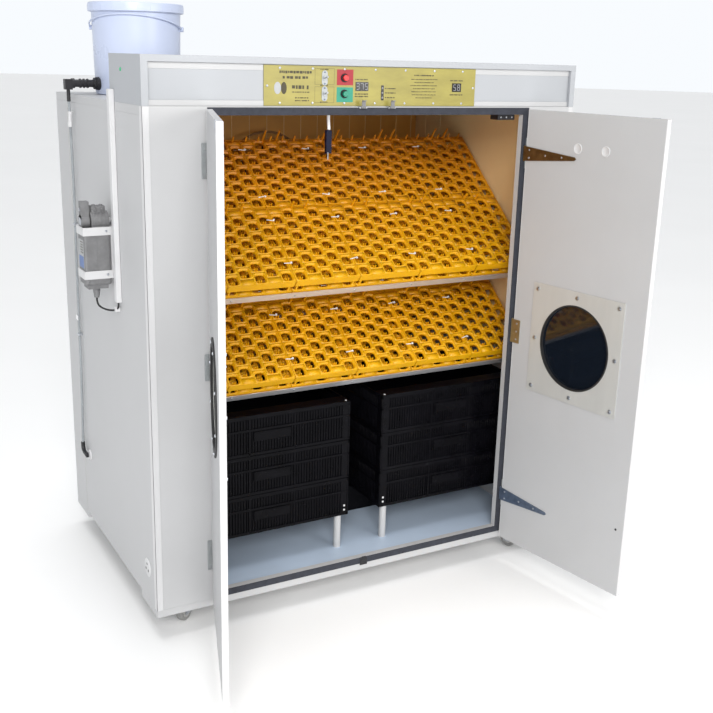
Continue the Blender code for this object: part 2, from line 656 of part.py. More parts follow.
def build_pail():
    r0, r1, t = PAIL_R0, PAIL_R1, PAIL_T
    z = HEIGHT + GAP
    pail = turned("water_pail", [(0.0, t), (r0 - t, t), (r1 - t, PAIL_H), (r1, PAIL_H),
                                 (r0, 0.0), (0.0, 0.0)], (PAIL_X, PAIL_Y, z), PAIL)
    for sign in (-1, 1):
        inner = Vector((PAIL_X, PAIL_Y, z + EAR_Z)) + BAIL_ACROSS * sign * 0.1425
        outer = inner + BAIL_ACROSS * sign * 0.0045
        boss = rod(f"ear_boss_{sign}", inner, outer, 0.010, PAIL, tool=True, segments=16)
        union(pail, boss)
    lid_z = z + PAIL_H + GAP
    turned("pail_lid", [(0.0, -0.018), (r1 - 0.006, -0.018), (r1 - 0.006, 0.0), (r1 + 0.002, 0.0),
                        (r1 + 0.002, -0.024), (r1 + 0.010, -0.024), (r1 + 0.010, 0.005),
                        (0.0, 0.005)][::-1],
           (PAIL_X, PAIL_Y, lid_z), PAIL)
    build_bail(z)
    build_outlet()


def build_bail(z):
    """Carrying handle, hinged at two ears and resting under the lid's rim."""
    ear_z = z + EAR_Z
    half = 0.1535
    reach = 0.158
    turn = math.atan2(BAIL_ACROSS.y, BAIL_ACROSS.x)
    axis = pivot("bail_axis", (PAIL_X, PAIL_Y, ear_z), (0, 0, turn))
    lean = pivot("bail_lean", (0, 0, 0), (math.radians(-15.0), 0, 0), axis)
    points = [Vector((half * math.cos(a), -reach * math.sin(a), 0.0))
              for a in [math.pi * k / 28 for k in range(29)]]
    bail = tube("pail_bail", points, 0.0028, PAIL, resolution=2)
    bail = curve_to_mesh(bail)
    bail.parent = lean
    for sx in (-1, 1):
        ear = rod(f"bail_ear_{sx}", (sx * (half - 0.006), 0, 0), (sx * (half + 0.004), 0, 0), 0.008,
                  PAIL, lean, tool=True, segments=16)
        union(bail, ear)


def build_outlet():
    """Tank fitting and elbow that feed the hose."""
    y = FRONT + 0.725
    z = HEIGHT + 0.036
    shell = PAIL_X - math.sqrt((PAIL_R0 + 0.0015) ** 2 - (y - PAIL_Y) ** 2)
    outlet = rod("pail_outlet", (shell, y, z), (-0.762, y, z), 0.012, BLACK, segments=20)
    elbow = boxes("outlet_elbow", [((-0.779, y - 0.013, z - 0.020), (-0.755, y + 0.013, z + 0.013))],
                  BLACK, tool=True)
    barb = rod("outlet_barb", (-0.767, y, z - 0.010), (-0.767, y, 1.509 + GAP), 0.006, BLACK,
               tool=True, segments=16)
    flange = rod("outlet_flange", (shell + 0.003, y, z), (shell - 0.009, y, z), 0.021, BLACK,
                 tool=True, segments=24)
    union(outlet, elbow, barb, flange)
    seat = rod("outlet_seat", (PAIL_X, PAIL_Y, HEIGHT + GAP), (PAIL_X, PAIL_Y, HEIGHT + GAP + PAIL_H),
               PAIL_R0 + 0.0005, BLACK, tool=True, segments=96, radius_end=PAIL_R1 + 0.0005)
    cut(outlet, seat)

    tube("water_hose", smooth_route(HOSE_ROUTE, 0.020), 0.0045, HOSE)

    end = Vector(HOSE_ROUTE[-1])
    route = [Vector((end.x, end.y, end.z - GAP)), Vector((end.x, end.y, end.z - 0.018)),
             Vector((end.x, end.y - 0.006, end.z - 0.028)), Vector((end.x, end.y - 0.020, end.z - 0.034)),
             Vector((end.x, end.y - 0.056, end.z - 0.034))]
    elbow = curve_to_mesh(tube("hose_elbow", route, 0.0075, BLACK, resolution=2))
    disc_y = end.y - 0.052
    disc_z = end.z - 0.034
    disc = rod("inlet_disc", (-HALF - GAP, disc_y, disc_z), (-HALF - 0.007, disc_y, disc_z), 0.019,
               PAIL, tool=True, segments=24)
    stem = rod("inlet_stem", (-HALF - 0.004, disc_y, disc_z), (-HALF - 0.016, disc_y, disc_z), 0.009,
               PAIL, tool=True, segments=20)
    union(elbow, stem, disc)


# ---------------------------------------------------------------- castors
def build_castors():
    places = (("front_left", -1, -1, 38.0), ("front_right", 1, -1, -72.0),
              ("rear_left", -1, 1, 120.0), ("rear_right", 1, 1, 160.0))
    for name, sx, sy, turn in places:
        top = -RAIL_DROP - GAP
        axis = pivot(f"castor_axis_{name}", (sx * CASTOR_X, sy * CASTOR_Y, top),
                     (0, 0, math.radians(turn)))
        fork = rod(f"castor_fork_{name}", (0, 0, 0), (0, 0, -0.006), 0.027, STEEL, axis)
        cheek_z = -CASTOR_H + WHEEL_R
        neck = boxes(f"castor_neck_{name}", [((-0.020, -0.017, -0.013), (0.034, 0.017, -0.005))],
                     STEEL, axis, tool=True)
        union(fork, neck)
        for s in (-1, 1):
            ys = sorted((s * 0.0135, s * 0.0160))
            cheek = boxes(f"castor_cheek_{name}_{s}", [((TRAIL - 0.013, ys[0], cheek_z - 0.010),
                                                        (TRAIL + 0.013, ys[1], -0.006))],
                          STEEL, axis, tool=True)
            union(fork, cheek)
        pin = rod(f"castor_pin_{name}", (TRAIL, -0.0185, cheek_z), (TRAIL, 0.0185, cheek_z), 0.0035,
                  STEEL, axis, tool=True, segments=12)
        union(fork, pin)
        wheel = rod(f"castor_wheel_{name}", (TRAIL, -WHEEL_W / 2, cheek_z),
                    (TRAIL, WHEEL_W / 2, cheek_z), WHEEL_R, GREY_TYRE, axis, segments=40)
        bevel(wheel, 0.003, 2)
        bore = rod(f"wheel_bore_{name}", (TRAIL, -0.03, cheek_z), (TRAIL, 0.03, cheek_z), 0.0040,
                   GREY_TYRE, axis, tool=True, segments=12)
        cut(wheel, bore)


# ---------------------------------------------------------------- air system
FAN_X = 0.0
FAN_Z = 1.230
FAN_Y = INNER_BACK - 0.075


def build_air():
    motor = rod("fan_motor", (FAN_X, INNER_BACK - GAP, FAN_Z), (FAN_X, INNER_BACK - 0.055, FAN_Z),
                0.036, STEEL, segments=24)
    shaft = rod("fan_shaft", (FAN_X, INNER_BACK - 0.050, FAN_Z), (FAN_X, INNER_BACK - 0.066, FAN_Z),
                0.004, STEEL, tool=True, segments=12)
    union(motor, shaft)
    axis = pivot("fan_axis", (FAN_X, FAN_Y, FAN_Z))
    hub = rod("fan_rotor", (0, -0.012, 0), (0, 0.0085, 0), 0.022, BLACK, axis, segments=20)
    for k in range(5):
        blade = boxes(f"fan_blade_{k}", [((-0.026, -0.0012, 0.016), (0.026, 0.0012, 0.120))], BLACK,
                      axis, tool=True)
        spin = Matrix.Rotation(math.radians(72 * k), 4, "Y")
        pitch = Matrix.Rotation(math.radians(24), 4, "Z")
        blade.data.transform(spin @ pitch)
        union(hub, blade)

    ring = [Vector((FAN_X + 0.165 * math.cos(a), FAN_Y, FAN_Z + 0.165 * math.sin(a)))
            for a in [math.radians(-80 + 340 * k / 36) for k in range(37)]]
    coil = curve_to_mesh(tube("heater_element", ring, 0.0045, STEEL, resolution=2))
    for k in (2, 34):
        p = ring[k]
        leg = rod(f"heater_leg_{k}", (p.x, p.y, p.z), (p.x, INNER_BACK - GAP, p.z), 0.0040, STEEL,
                  tool=True, segments=12)
        union(coil, leg)

    x, y = -0.137, FRONT + 0.085
    probe = rod("sensor_probe", (x, y, HEIGHT - ROOF - GAP), (x, y, HEIGHT - ROOF - 0.055), 0.0030,
                PAIL, segments=12)
    body = boxes("probe_body", [((x - 0.009, y - 0.006, HEIGHT - ROOF - 0.120),
                                 (x + 0.009, y + 0.006, HEIGHT - ROOF - 0.050))], BLACK, tool=True)
    union(probe, body)


build_shell()
build_fascia()
build_catches()
build_door("left", 1, OPEN_LEFT)
build_door("right", -1, OPEN_RIGHT)
build_rack("upper", RACK_Z[0])
build_rack("lower", RACK_Z[1])
build_link()
build_crates()
build_motor()
build_pail()
build_castors()
build_air()
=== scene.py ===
"""Look of the cabinet egg incubator: materials, fine pieces, studio and camera.

Everything is in metres in the row frame: +Z up, the doors face -Y.
"""
import math
import random

import bmesh
import bpy
from mathutils import Matrix, Vector


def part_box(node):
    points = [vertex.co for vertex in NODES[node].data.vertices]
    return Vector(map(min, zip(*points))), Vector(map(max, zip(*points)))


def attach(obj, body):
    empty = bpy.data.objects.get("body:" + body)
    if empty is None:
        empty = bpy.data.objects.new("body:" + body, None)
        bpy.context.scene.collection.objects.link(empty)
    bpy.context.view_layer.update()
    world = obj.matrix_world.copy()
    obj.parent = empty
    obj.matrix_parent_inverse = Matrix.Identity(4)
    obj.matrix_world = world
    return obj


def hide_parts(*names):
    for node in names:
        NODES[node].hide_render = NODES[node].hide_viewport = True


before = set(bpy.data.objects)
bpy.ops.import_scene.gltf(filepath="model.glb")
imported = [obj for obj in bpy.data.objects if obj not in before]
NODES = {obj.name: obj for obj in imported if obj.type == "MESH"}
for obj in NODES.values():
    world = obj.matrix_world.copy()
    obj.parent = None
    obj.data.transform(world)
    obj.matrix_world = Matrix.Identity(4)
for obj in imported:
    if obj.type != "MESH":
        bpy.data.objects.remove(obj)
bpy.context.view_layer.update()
random.seed(7)

# ------------ sizes shared with the CAD
BACK = 0.485
FRONT = -BACK
HALF = 0.75
HEIGHT = 1.531
CEILING = HEIGHT - 0.0256
INNER_X = 0.71
HINGE_X = 0.552
HINGE_Y = FRONT - 0.0075
DOOR_OPEN = {"left": 108.6, "right": 98.8}
DOOR_INNER = 0.0015
DOOR_OUTER = -0.0155
PLATE_Y = DOOR_INNER + 0.0003 + 0.0025
RACK_Y = FRONT + 0.347
RACK_Z = {"upper": 1.173, "lower": 0.853}
RACK_TILT = math.radians(40.5)
PAIL_X = -0.525
PAIL_Y = FRONT + 0.745
FLOOR_Z = -0.1073


# ------------ camera
def look_from(place, azimuth, elevation, roll, lens):
    forward = Vector((math.sin(azimuth) * math.cos(elevation),
                      math.cos(azimuth) * math.cos(elevation), math.sin(elevation)))
    right = Vector((math.cos(azimuth), -math.sin(azimuth), 0.0))
    up = right.cross(forward)
    turned_right = right * math.cos(roll) + up * math.sin(roll)
    turned_up = up * math.cos(roll) - right * math.sin(roll)
    data = bpy.data.cameras.new("camera")
    data.lens = lens
    data.sensor_width = 36.0
    camera = bpy.data.objects.new("camera", data)
    bpy.context.scene.collection.objects.link(camera)
    turn = Matrix((turned_right, turned_up, -forward)).transposed().to_4x4()
    camera.matrix_world = Matrix.Translation(place) @ turn
    bpy.context.scene.camera = camera


look_from((-1.6157, -3.2434, 1.6701), azimuth=0.5124, elevation=-0.2839, roll=0.0274, lens=51.6)


# ------------ materials
BUMP_DEPTH = 0.0005
# Painted shade on the trays: the depths over which their colour darkens, and the darkest tint at the rear.
FRONT_TO_REAR = (-0.42, 0.04)
REAR_SHADE = (0.76, 0.5, 0.6, 1.0)
MIX_FACTOR, MIX_A, MIX_B, MIX_RESULT = 0, 6, 7, 2


def node(tree, kind, **values):
    """A new node with some of its inputs set; a name's spaces are written as underscores."""
    made = tree.nodes.new(kind)
    for key, value in values.items():
        made.inputs[key.replace("_", " ")].default_value = value
    return made


def noise(tree, coords, scale, detail, stretch):
    mapping = node(tree, "ShaderNodeMapping", Scale=stretch)
    tree.links.new(coords, mapping.inputs["Vector"])
    texture = node(tree, "ShaderNodeTexNoise", Scale=scale, Detail=detail, Roughness=0.6)
    tree.links.new(mapping.outputs["Vector"], texture.inputs["Vector"])
    return texture.outputs["Fac"]


def two_tone(tree, fac, color, tint):
    """The colour a little darker where fac is low and a little lighter where it is high."""
    ramp = node(tree, "ShaderNodeValToRGB")
    tree.links.new(fac, ramp.inputs["Fac"])
    for element, place, factor in zip(ramp.color_ramp.elements, (0.3, 0.7), (1 - tint, 1 + tint)):
        element.position = place
        element.color = (*(max(0.0, min(1.0, c * factor)) for c in color), 1.0)
    return ramp.outputs["Color"]


def material(name, color, rough, metal=0.0, *, tint, patch, grain=900.0, bump=0.05,
             stretch=(1, 1, 1), rough_spread=0.08, **sockets):
    """A procedural finish: soft patches in its colour and gloss, and a fine small bump.

    tint and rough_spread are how far the patches go; patch and grain are noise scales.
    """
    mat = bpy.data.materials.new(name)
    mat.use_nodes = True
    tree = mat.node_tree
    shader = tree.nodes["Principled BSDF"]
    shader.inputs["Metallic"].default_value = metal
    for key, value in sockets.items():
        shader.inputs[key.replace("_", " ")].default_value = value
    coords = node(tree, "ShaderNodeTexCoord").outputs["Object"]
    broad = noise(tree, coords, patch, 5.0, stretch)
    tree.links.new(two_tone(tree, broad, color, tint), shader.inputs["Base Color"])
    spread = node(tree, "ShaderNodeMapRange", To_Min=max(0.02, rough - rough_spread),
                  To_Max=min(1.0, rough + rough_spread))
    tree.links.new(broad, spread.inputs["Value"])
    tree.links.new(spread.outputs["Result"], shader.inputs["Roughness"])
    relief = node(tree, "ShaderNodeBump", Strength=bump, Distance=BUMP_DEPTH)
    tree.links.new(noise(tree, coords, grain, 3.0, stretch), relief.inputs["Height"])
    tree.links.new(relief.outputs["Normal"], shader.inputs["Normal"])
    return mat


def paint_rear_shade(mat):
    """Painted shade: darken a colour, and turn it more orange, from the front of the trays towards the
    rear, where the roof shades them.
    """
    tree = mat.node_tree
    shader = tree.nodes["Principled BSDF"]
    source = shader.inputs["Base Color"].links[0].from_socket
    split = node(tree, "ShaderNodeSeparateXYZ")
    tree.links.new(node(tree, "ShaderNodeTexCoord").outputs["Object"], split.inputs["Vector"])
    depth = node(tree, "ShaderNodeMapRange", From_Min=FRONT_TO_REAR[0], From_Max=FRONT_TO_REAR[1])
    tree.links.new(split.outputs["Y"], depth.inputs["Value"])
    mix = node(tree, "ShaderNodeMix")
    mix.data_type = "RGBA"
    mix.blend_type = "MULTIPLY"
    mix.inputs[MIX_B].default_value = REAR_SHADE
    tree.links.new(depth.outputs["Result"], mix.inputs[MIX_FACTOR])
    tree.links.new(source, mix.inputs[MIX_A])
    tree.links.new(mix.outputs[MIX_RESULT], shader.inputs["Base Color"])


BOARD = material("white_board", (0.5, 0.503, 0.512), 0.46, tint=0.03, patch=2.2, grain=260, bump=0.1)
BOARD_EDGE = material("board_edge", (0.5, 0.5, 0.49), 0.5, tint=0.04, patch=9, grain=300, bump=0.2)
LINER = material("inner_liner", (0.8, 0.58, 0.3), 0.45, tint=0.05, patch=3, grain=200, bump=0.1)
# Painted shade: a darker, more orange copy of the inner liner, standing for the shade and the tray-coloured
# bounce at the back.
SHADED_BACK_LINER = material("back_liner_shaded", (0.66, 0.31, 0.055), 0.55, tint=0.1, patch=4, grain=160, bump=0.2)
TRIM = material("white_trim", (0.62, 0.62, 0.63), 0.35, tint=0.02, patch=8, grain=500, bump=0.05)
SEAL = material("sponge_seal", (0.032, 0.035, 0.047), 0.85, tint=0.25, patch=60, bump=0.6)
PLATE = material("control_plate", (0.33, 0.285, 0.066), 0.34, tint=0.13, patch=9, grain=700, bump=0.03,
                 stretch=(1, 1, 3))
YELLOW = material("tray_yellow", (0.8, 0.41, 0.001), 0.42, tint=0.1, patch=14, grain=350, bump=0.08,
                  Subsurface_Weight=0.06)
# Painted shade: the trays' yellow darkens towards the rear.
paint_rear_shade(YELLOW)
BLACK = material("black_plastic", (0.012, 0.012, 0.015), 0.42, tint=0.3, patch=20, grain=500, bump=0.1)
CRATE = material("crate_black", (0.0028, 0.0027, 0.004), 0.24, tint=0.35, patch=16, grain=420,
                 bump=0.15, Specular_IOR_Level=0.08)
RUBBER = material("black_rubber", (0.015, 0.015, 0.016), 0.6, tint=0.3, patch=30, grain=700, bump=0.1)
ZINC = material("zinc_steel", (0.52, 0.54, 0.58), 0.34, 0.95, tint=0.12, patch=60, bump=0.1)
PLATED = material("plated_steel", (0.36, 0.38, 0.39), 0.4, 0.45, tint=0.1, patch=60)
BLUED = material("blued_steel", (0.16, 0.2, 0.27), 0.36, 0.85, tint=0.22, patch=45, grain=700, bump=0.1)
BRONZE = material("bronze_strap", (0.2, 0.13, 0.055), 0.38, 0.85, tint=0.25, patch=45, grain=700)
BRASS = material("brass_plate", (0.33, 0.27, 0.15), 0.36, 0.7, tint=0.15, patch=50, grain=700)
ALU = material("aluminium_angle", (0.78, 0.78, 0.8), 0.38, 0.75, tint=0.05, patch=30, grain=260,
               bump=0.12, stretch=(0.05, 1, 1))
SATIN = material("satin_plate", (0.56, 0.56, 0.54), 0.42, 0.2, tint=0.04, patch=14, grain=420,
                 bump=0.1, stretch=(1, 1, 0.2))
CAST = material("grey_casting", (0.2, 0.2, 0.205), 0.5, 0.35, tint=0.14, patch=38, grain=420,
                bump=0.35)
PAIL = material("pail_plastic", (0.54, 0.6, 0.77), 0.3, tint=0.03, patch=5, grain=300, bump=0.04)
RED = material("red_plastic", (0.62, 0.025, 0.03), 0.28, tint=0.12, patch=70)
RED_LABEL = material("red_label", (0.34, 0.01, 0.022), 0.4, tint=0.08, patch=40)
GREEN = material("green_plastic", (0.01, 0.24, 0.15), 0.28, tint=0.12, patch=70)
GREEN_LABEL = material("green_label", (0.02, 0.27, 0.18), 0.4, tint=0.08, patch=40)
INK = material("dark_ink", (0.055, 0.045, 0.02), 0.5, tint=0.25, patch=90)
LED_OFF = material("display_segments", (0.26, 0.26, 0.27), 0.4, tint=0.1, patch=90)
DISPLAY = material("display_glass", (0.01, 0.01, 0.012), 0.15, tint=0.2, patch=60)
TYRE = material("grey_tyre", (0.24, 0.24, 0.235), 0.62, tint=0.12, patch=40, grain=600, bump=0.2)
HUB = material("castor_hub", (0.48, 0.48, 0.47), 0.45, tint=0.08, patch=40, grain=600)
CLEAR = material("clear_hose", (0.42, 0.45, 0.47), 0.18, tint=0.12, patch=22, grain=500,
                 Transmission_Weight=0.35, IOR=1.42)
NAVY = material("probe_navy", (0.004, 0.005, 0.022), 0.45, tint=0.2, patch=60, grain=800,
                Specular_IOR_Level=0.2)
RUST = material("heater_sheath", (0.3, 0.15, 0.05), 0.6, 0.2, tint=0.2, patch=50, grain=700)
# Painted shade: the fascia's white board, painted darker than BOARD to take back the extra light it gets
# from above.
FASCIA_SHADED = material("fascia_board_shaded", (0.405, 0.42, 0.445), 0.46, tint=0.03, patch=2.2, grain=260,
                  bump=0.1)
TIE = material("cable_tie", (0.82, 0.83, 0.84), 0.35, tint=0.04, patch=80)
LABEL_BLUE = material("label_blue", (0.1, 0.17, 0.38), 0.45, tint=0.12, patch=60)
LABEL_GREY = material("label_grey", (0.4, 0.41, 0.42), 0.45, tint=0.06, patch=60)
LAMP_GREEN = material("green_lamp", (0.05, 0.45, 0.2), 0.25, tint=0.15, patch=90)
GLASS = material("window_pane", (0.006, 0.009, 0.015), 0.05, tint=0.1, patch=7, grain=120, bump=0.02,
                 rough_spread=0.02, IOR=1.6)
HATCH_FLOOR = material("hatcher_floor", (0.5, 0.6, 0.74), 0.38, tint=0.05, patch=5, grain=260,
                       bump=0.1)


# ------------ mesh helpers
def cad_box(name):
    """Low and high corner of a CAD piece."""
    low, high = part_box(name)
    return Vector(low), Vector(high)


def link(obj, mat, body="cabinet"):
    """Puts a piece on its body with the given material."""
    obj.data.materials.append(mat)
    bpy.context.scene.collection.objects.link(obj)
    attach(obj, body)
    return obj


def bevel(obj, width, segments, angle):
    mod = obj.modifiers.new("soft_edges", "BEVEL")
    mod.width = width
    mod.segments = segments
    mod.limit_method = "ANGLE"
    mod.angle_limit = math.radians(angle)


def make(name, bm, mat, body="cabinet", place=None, slot=None, smooth=True, edge=0.0, segments=2):
    """Turns a bmesh into a piece; place is where its own frame stands in the row frame."""
    mesh = bpy.data.meshes.new(name)
    if place is not None:
        bm.transform(place)
    bmesh.ops.recalc_face_normals(bm, faces=bm.faces)
    bm.to_mesh(mesh)
    bm.free()
    if smooth:
        mesh.shade_smooth()
        mesh.set_sharp_from_angle(angle=math.radians(32))
    obj = bpy.data.objects.new(name, mesh)
    if edge > 0:
        bevel(obj, edge, segments, 35)
    return link(obj, mat, body)


def box(bm, lo, hi, turn=None):
    """A box between two opposite corners, in any order, turned about its centre."""
    size = [abs(b - a) for a, b in zip(lo, hi)]
    centre = Vector([(a + b) / 2 for a, b in zip(lo, hi)])
    place = Matrix.Translation(centre) @ (turn or Matrix.Identity(4)) @ Matrix.Diagonal((*size, 1.0))
    return bmesh.ops.create_cube(bm, size=1.0, matrix=place)["verts"]


def rod(bm, start, end, radius, segments, radius_end=None):
    a = Vector(start)
    b = Vector(end)
    turn = (b - a).to_track_quat("Z", "Y").to_matrix().to_4x4()
    place = Matrix.Translation((a + b) / 2) @ turn
    tip = radius if radius_end is None else radius_end
    bmesh.ops.create_cone(bm, cap_ends=True, segments=segments, radius1=radius, radius2=tip,
                          depth=(b - a).length, matrix=place)


def lathe(bm, profile, steps, place):
    """Closed solid of revolution about Z from (radius, height) pairs that start and end at radius 0."""
    angles = [2 * math.pi * k / steps for k in range(steps)]
    rings = []
    for r, z in profile:
        if r < 1e-6:
            rings.append([bm.verts.new((0, 0, z))])
        else:
            rings.append([bm.verts.new((r * math.cos(a), r * math.sin(a), z)) for a in angles])
    for low, high in zip(rings, rings[1:]):
        for k in range(steps):
            j = (k + 1) % steps
            if len(low) == 1:
                bm.faces.new((low[0], high[k], high[j]))
            elif len(high) == 1:
                bm.faces.new((low[k], low[j], high[0]))
            else:
                bm.faces.new((low[k], low[j], high[j], high[k]))
    bmesh.ops.transform(bm, matrix=place, verts=[v for r in rings for v in r])


def ring(bm, profile, steps, place):
    """A closed ring from a closed (radius, height) outline turned about Z."""
    rings = [[bm.verts.new((r * math.cos(a), r * math.sin(a), z)) for r, z in profile]
             for a in [2 * math.pi * k / steps for k in range(steps)]]
    count = len(profile)
    for a, b in zip(rings, rings[1:] + rings[:1]):
        for k in range(count):
            j = (k + 1) % count
            bm.faces.new((a[k], a[j], b[j], b[k]))
    bmesh.ops.transform(bm, matrix=place, verts=[v for r in rings for v in r])


def aim(place, direction):
    """A frame at place whose Z looks along direction."""
    turn = Vector(direction).to_track_quat("Z", "Y").to_matrix().to_4x4()
    return Matrix.Translation(place) @ turn


def screw_head(bm, place, direction, radius, proud):
    """Pan head with a round recess, standing on a surface."""
    lathe(bm, [(0, -0.0001), (radius, -0.0001), (radius, proud * 0.45), (radius * 0.75, proud * 0.9),
               (radius * 0.3, proud), (radius * 0.22, proud * 0.35), (0, proud * 0.35)], 14,
          aim(place, direction))


def boxes(name, spans, mat, body="cabinet", **looks):
    """A piece made of boxes, each given by two opposite corners."""
    bm = bmesh.new()
    for lo, hi in spans:
        box(bm, lo, hi)
    return make(name, bm, mat, body, **looks)


def screws(name, spots, direction, head, mat, body="cabinet", place=None):
    """A piece made of screw heads; head is their radius and how proud they stand."""
    bm = bmesh.new()
    for spot in spots:
        screw_head(bm, spot, direction, *head)
    return make(name, bm, mat, body, place)


def turned(name, profile, steps, spots, direction, mat, body="cabinet", place=None):
    """A piece made of one lathe profile that stands along direction at each spot."""
    bm = bmesh.new()
    for spot in spots:
        lathe(bm, profile, steps, aim(spot, direction))
    return make(name, bm, mat, body, place)


def wire(name, points, radius, mat):
    curve = bpy.data.curves.new(name, "CURVE")
    curve.dimensions = "3D"
    curve.bevel_depth = radius
    curve.bevel_resolution = 3
    curve.use_fill_caps = True
    spline = curve.splines.new("POLY")
    spline.points.add(len(points) - 1)
    for point, place in zip(spline.points, points):
        point.co = (*place, 1.0)
    spline.use_smooth = True
    return link(bpy.data.objects.new(name, curve), mat)


def smooth_route(points):
    """A Catmull-Rom curve through the points."""
    per_span = 8
    pts = [Vector(p) for p in points]
    pts = [pts[0] * 2 - pts[1]] + pts + [pts[-1] * 2 - pts[-2]]
    out = []
    for i in range(1, len(pts) - 2):
        p0, p1, p2, p3 = pts[i - 1:i + 3]
        for k in range(per_span):
            t = k / per_span
            out.append(0.5 * (2 * p1 + (p2 - p0) * t + (2 * p0 - 5 * p1 + 4 * p2 - p3) * t * t
                              + (3 * p1 - p0 - 3 * p2 + p3) * t ** 3))
    out.append(pts[-2])
    return out


def door_frame(side):
    """The frame of a door: local X along the door from its hinge axis, Y inwards when shut."""
    s = 1 if side == "left" else -1
    angle = math.radians(-s * DOOR_OPEN[side])
    place = Matrix.Translation((-s * HINGE_X, HINGE_Y, 0.0)) @ Matrix.Rotation(angle, 4, "Z")
    return place, s


def rack_frame(level):
    """The frame of a rack: X across, Y along the rack to the rear, Z square to its trays."""
    return Matrix.Translation((0, RACK_Y, RACK_Z[level])) @ Matrix.Rotation(RACK_TILT, 4, "X")


# ------------ finishes of the CAD pieces
STRAP_METAL = {"top": BRONZE, "middle": BRASS, "bottom": BLUED}
CAD_FINISH = {
    "roof_panel": BOARD, "front_frame": BOARD, "rear_panel": BOARD, "floor_board": BOARD,
    "side_panel_left": BOARD, "side_panel_right": BOARD, "door_left": BOARD, "door_right": BOARD,
    "fascia_housing": FASCIA_SHADED, "door_seal": SEAL, "control_panel": PLATE, "link_bar": ALU,
    "push_button_red": RED, "push_button_green": GREEN, "actuator_housing": CAST,
    "actuator_bracket": TRIM, "cable_duct": TRIM, "motor_lead": RUBBER, "pail_bail": PAIL,
    "pail_outlet": BLACK, "water_hose": CLEAR, "hose_elbow": BLACK, "fan_motor": ZINC,
    "fan_rotor": BLACK, "heater_element": RUST, "sensor_probe": NAVY}
SOFT_EDGES = {
    "roof_panel": (0.0015, 2), "side_panel_left": (0.0015, 2), "side_panel_right": (0.0015, 2),
    "fascia_housing": (0.0015, 2), "door_left": (0.0012, 2), "door_right": (0.0012, 2),
    "window_frame_left": (0.0006, 1), "window_frame_right": (0.0006, 1), "door_seal": (0.001, 2),
    "actuator_bracket": (0.0006, 1)}


def paint(name, mat):
    NODES[name].data.materials.clear()
    NODES[name].data.materials.append(mat)


def finish_cad():
    for name, mat in CAD_FINISH.items():
        paint(name, mat)
    for side in ("left", "right"):
        paint(f"catch_{side}", CAST)
        paint(f"window_frame_{side}", SATIN)
        paint(f"window_glass_{side}", GLASS)
        for level, mat in STRAP_METAL.items():
            paint(f"hinge_{side}_{level}", mat)
    for level in ("upper", "lower"):
        paint(f"rack_frame_{level}", ALU)
        paint(f"toggle_switch_{level}", ZINC)
    for corner in ("front_left", "front_right", "rear_left", "rear_right"):
        paint(f"castor_fork_{corner}", ZINC)
    for name, (width, segments) in SOFT_EDGES.items():
        bevel(NODES[name], width, segments, 40)


finish_cad()


# ------------ setting trays
TRAY_HALF_X = 0.6975
TRAYS = 6
TRAY_PITCH = 2 * TRAY_HALF_X / TRAYS
TRAY_GAP = 0.0024
COLUMNS = 5
COLUMN_W = (TRAY_PITCH - TRAY_GAP) / COLUMNS
ROWS = 6
FRONT_BANK = -0.3095
REAR_BANK = 0.0015
BANK_LENGTH = 0.308
RIM = 0.0015
ROW_V = (BANK_LENGTH - 2 * RIM) / (ROWS + 0.5)
CELL_R = 0.0198
CELL_DEPTH = 0.012
TOP_N = 0.02
LAYER = 0.05
SQUARE = [(1, 0), (1, 0.5), (1, 1), (0.5, 1), (0, 1), (-0.5, 1), (-1, 1), (-1, 0.5),
          (-1, 0), (-1, -0.5), (-1, -1), (-0.5, -1), (0, -1), (0.5, -1), (1, -1), (1, -0.5)]


def cell_tile(verts, faces, x0, x1, v0, v1, top):
    """One cell: a narrow collar round an open, nearly square seat with a scalloped skirt."""
    cx = (x0 + x1) / 2
    cv = (v0 + v1) / 2
    hx = (x1 - x0) / 2
    hv = (v1 - v0) / 2
    base = len(verts)
    verts.extend((cx + a * hx, cv + b * hv, top) for a, b in SQUARE)
    for inset, drop in ((0.0, 0.0), (0.001, 0.0018), (0.0036, 0.45), (0.0052, 1.0)):
        for k, (a, b) in enumerate(SQUARE):
            size = math.hypot(a, b)
            c = a / size
            s = b / size
            radius = (CELL_R - inset) * (c ** 4 + s ** 4) ** -0.25
            fall = drop if drop < 0.1 else CELL_DEPTH * drop * (1.0 if k % 4 == 2 else 0.62)
            verts.append((cx + radius * c, cv + radius * s, top - fall))
    for ring_number in range(4):
        a0 = base + 16 * ring_number
        for k in range(16):
            j = (k + 1) % 16
            faces.append((a0 + k, a0 + j, a0 + 16 + j, a0 + 16 + k))


def solid_tile(verts, faces, x0, x1, v0, v1, top):
    base = len(verts)
    cx = (x0 + x1) / 2
    verts.extend([(x0, v0, top), (cx, v0, top), (x1, v0, top), (x1, v1, top), (cx, v1, top),
                  (x0, v1, top)])
    faces.append((base, base + 1, base + 4, base + 5))
    faces.append((base + 1, base + 2, base + 3, base + 4))


def tray_cells(verts, faces, x_start, v_start, top):
    """Staggered columns of cells; a solid tile fills the half cell that each column leaves."""
    first = v_start + RIM
    for col in range(COLUMNS):
        xa = x_start + col * COLUMN_W
        xb = xa + COLUMN_W
        va = first + (ROW_V / 2 if col % 2 else 0.0)
        if col % 2:
            solid_tile(verts, faces, xa, xb, first, va, top)
        for row in range(ROWS):
            cell_tile(verts, faces, xa, xb, va + row * ROW_V, va + (row + 1) * ROW_V, top)
        if not col % 2:
            solid_tile(verts, faces, xa, xb, va + ROWS * ROW_V, v_start + BANK_LENGTH - RIM, top)


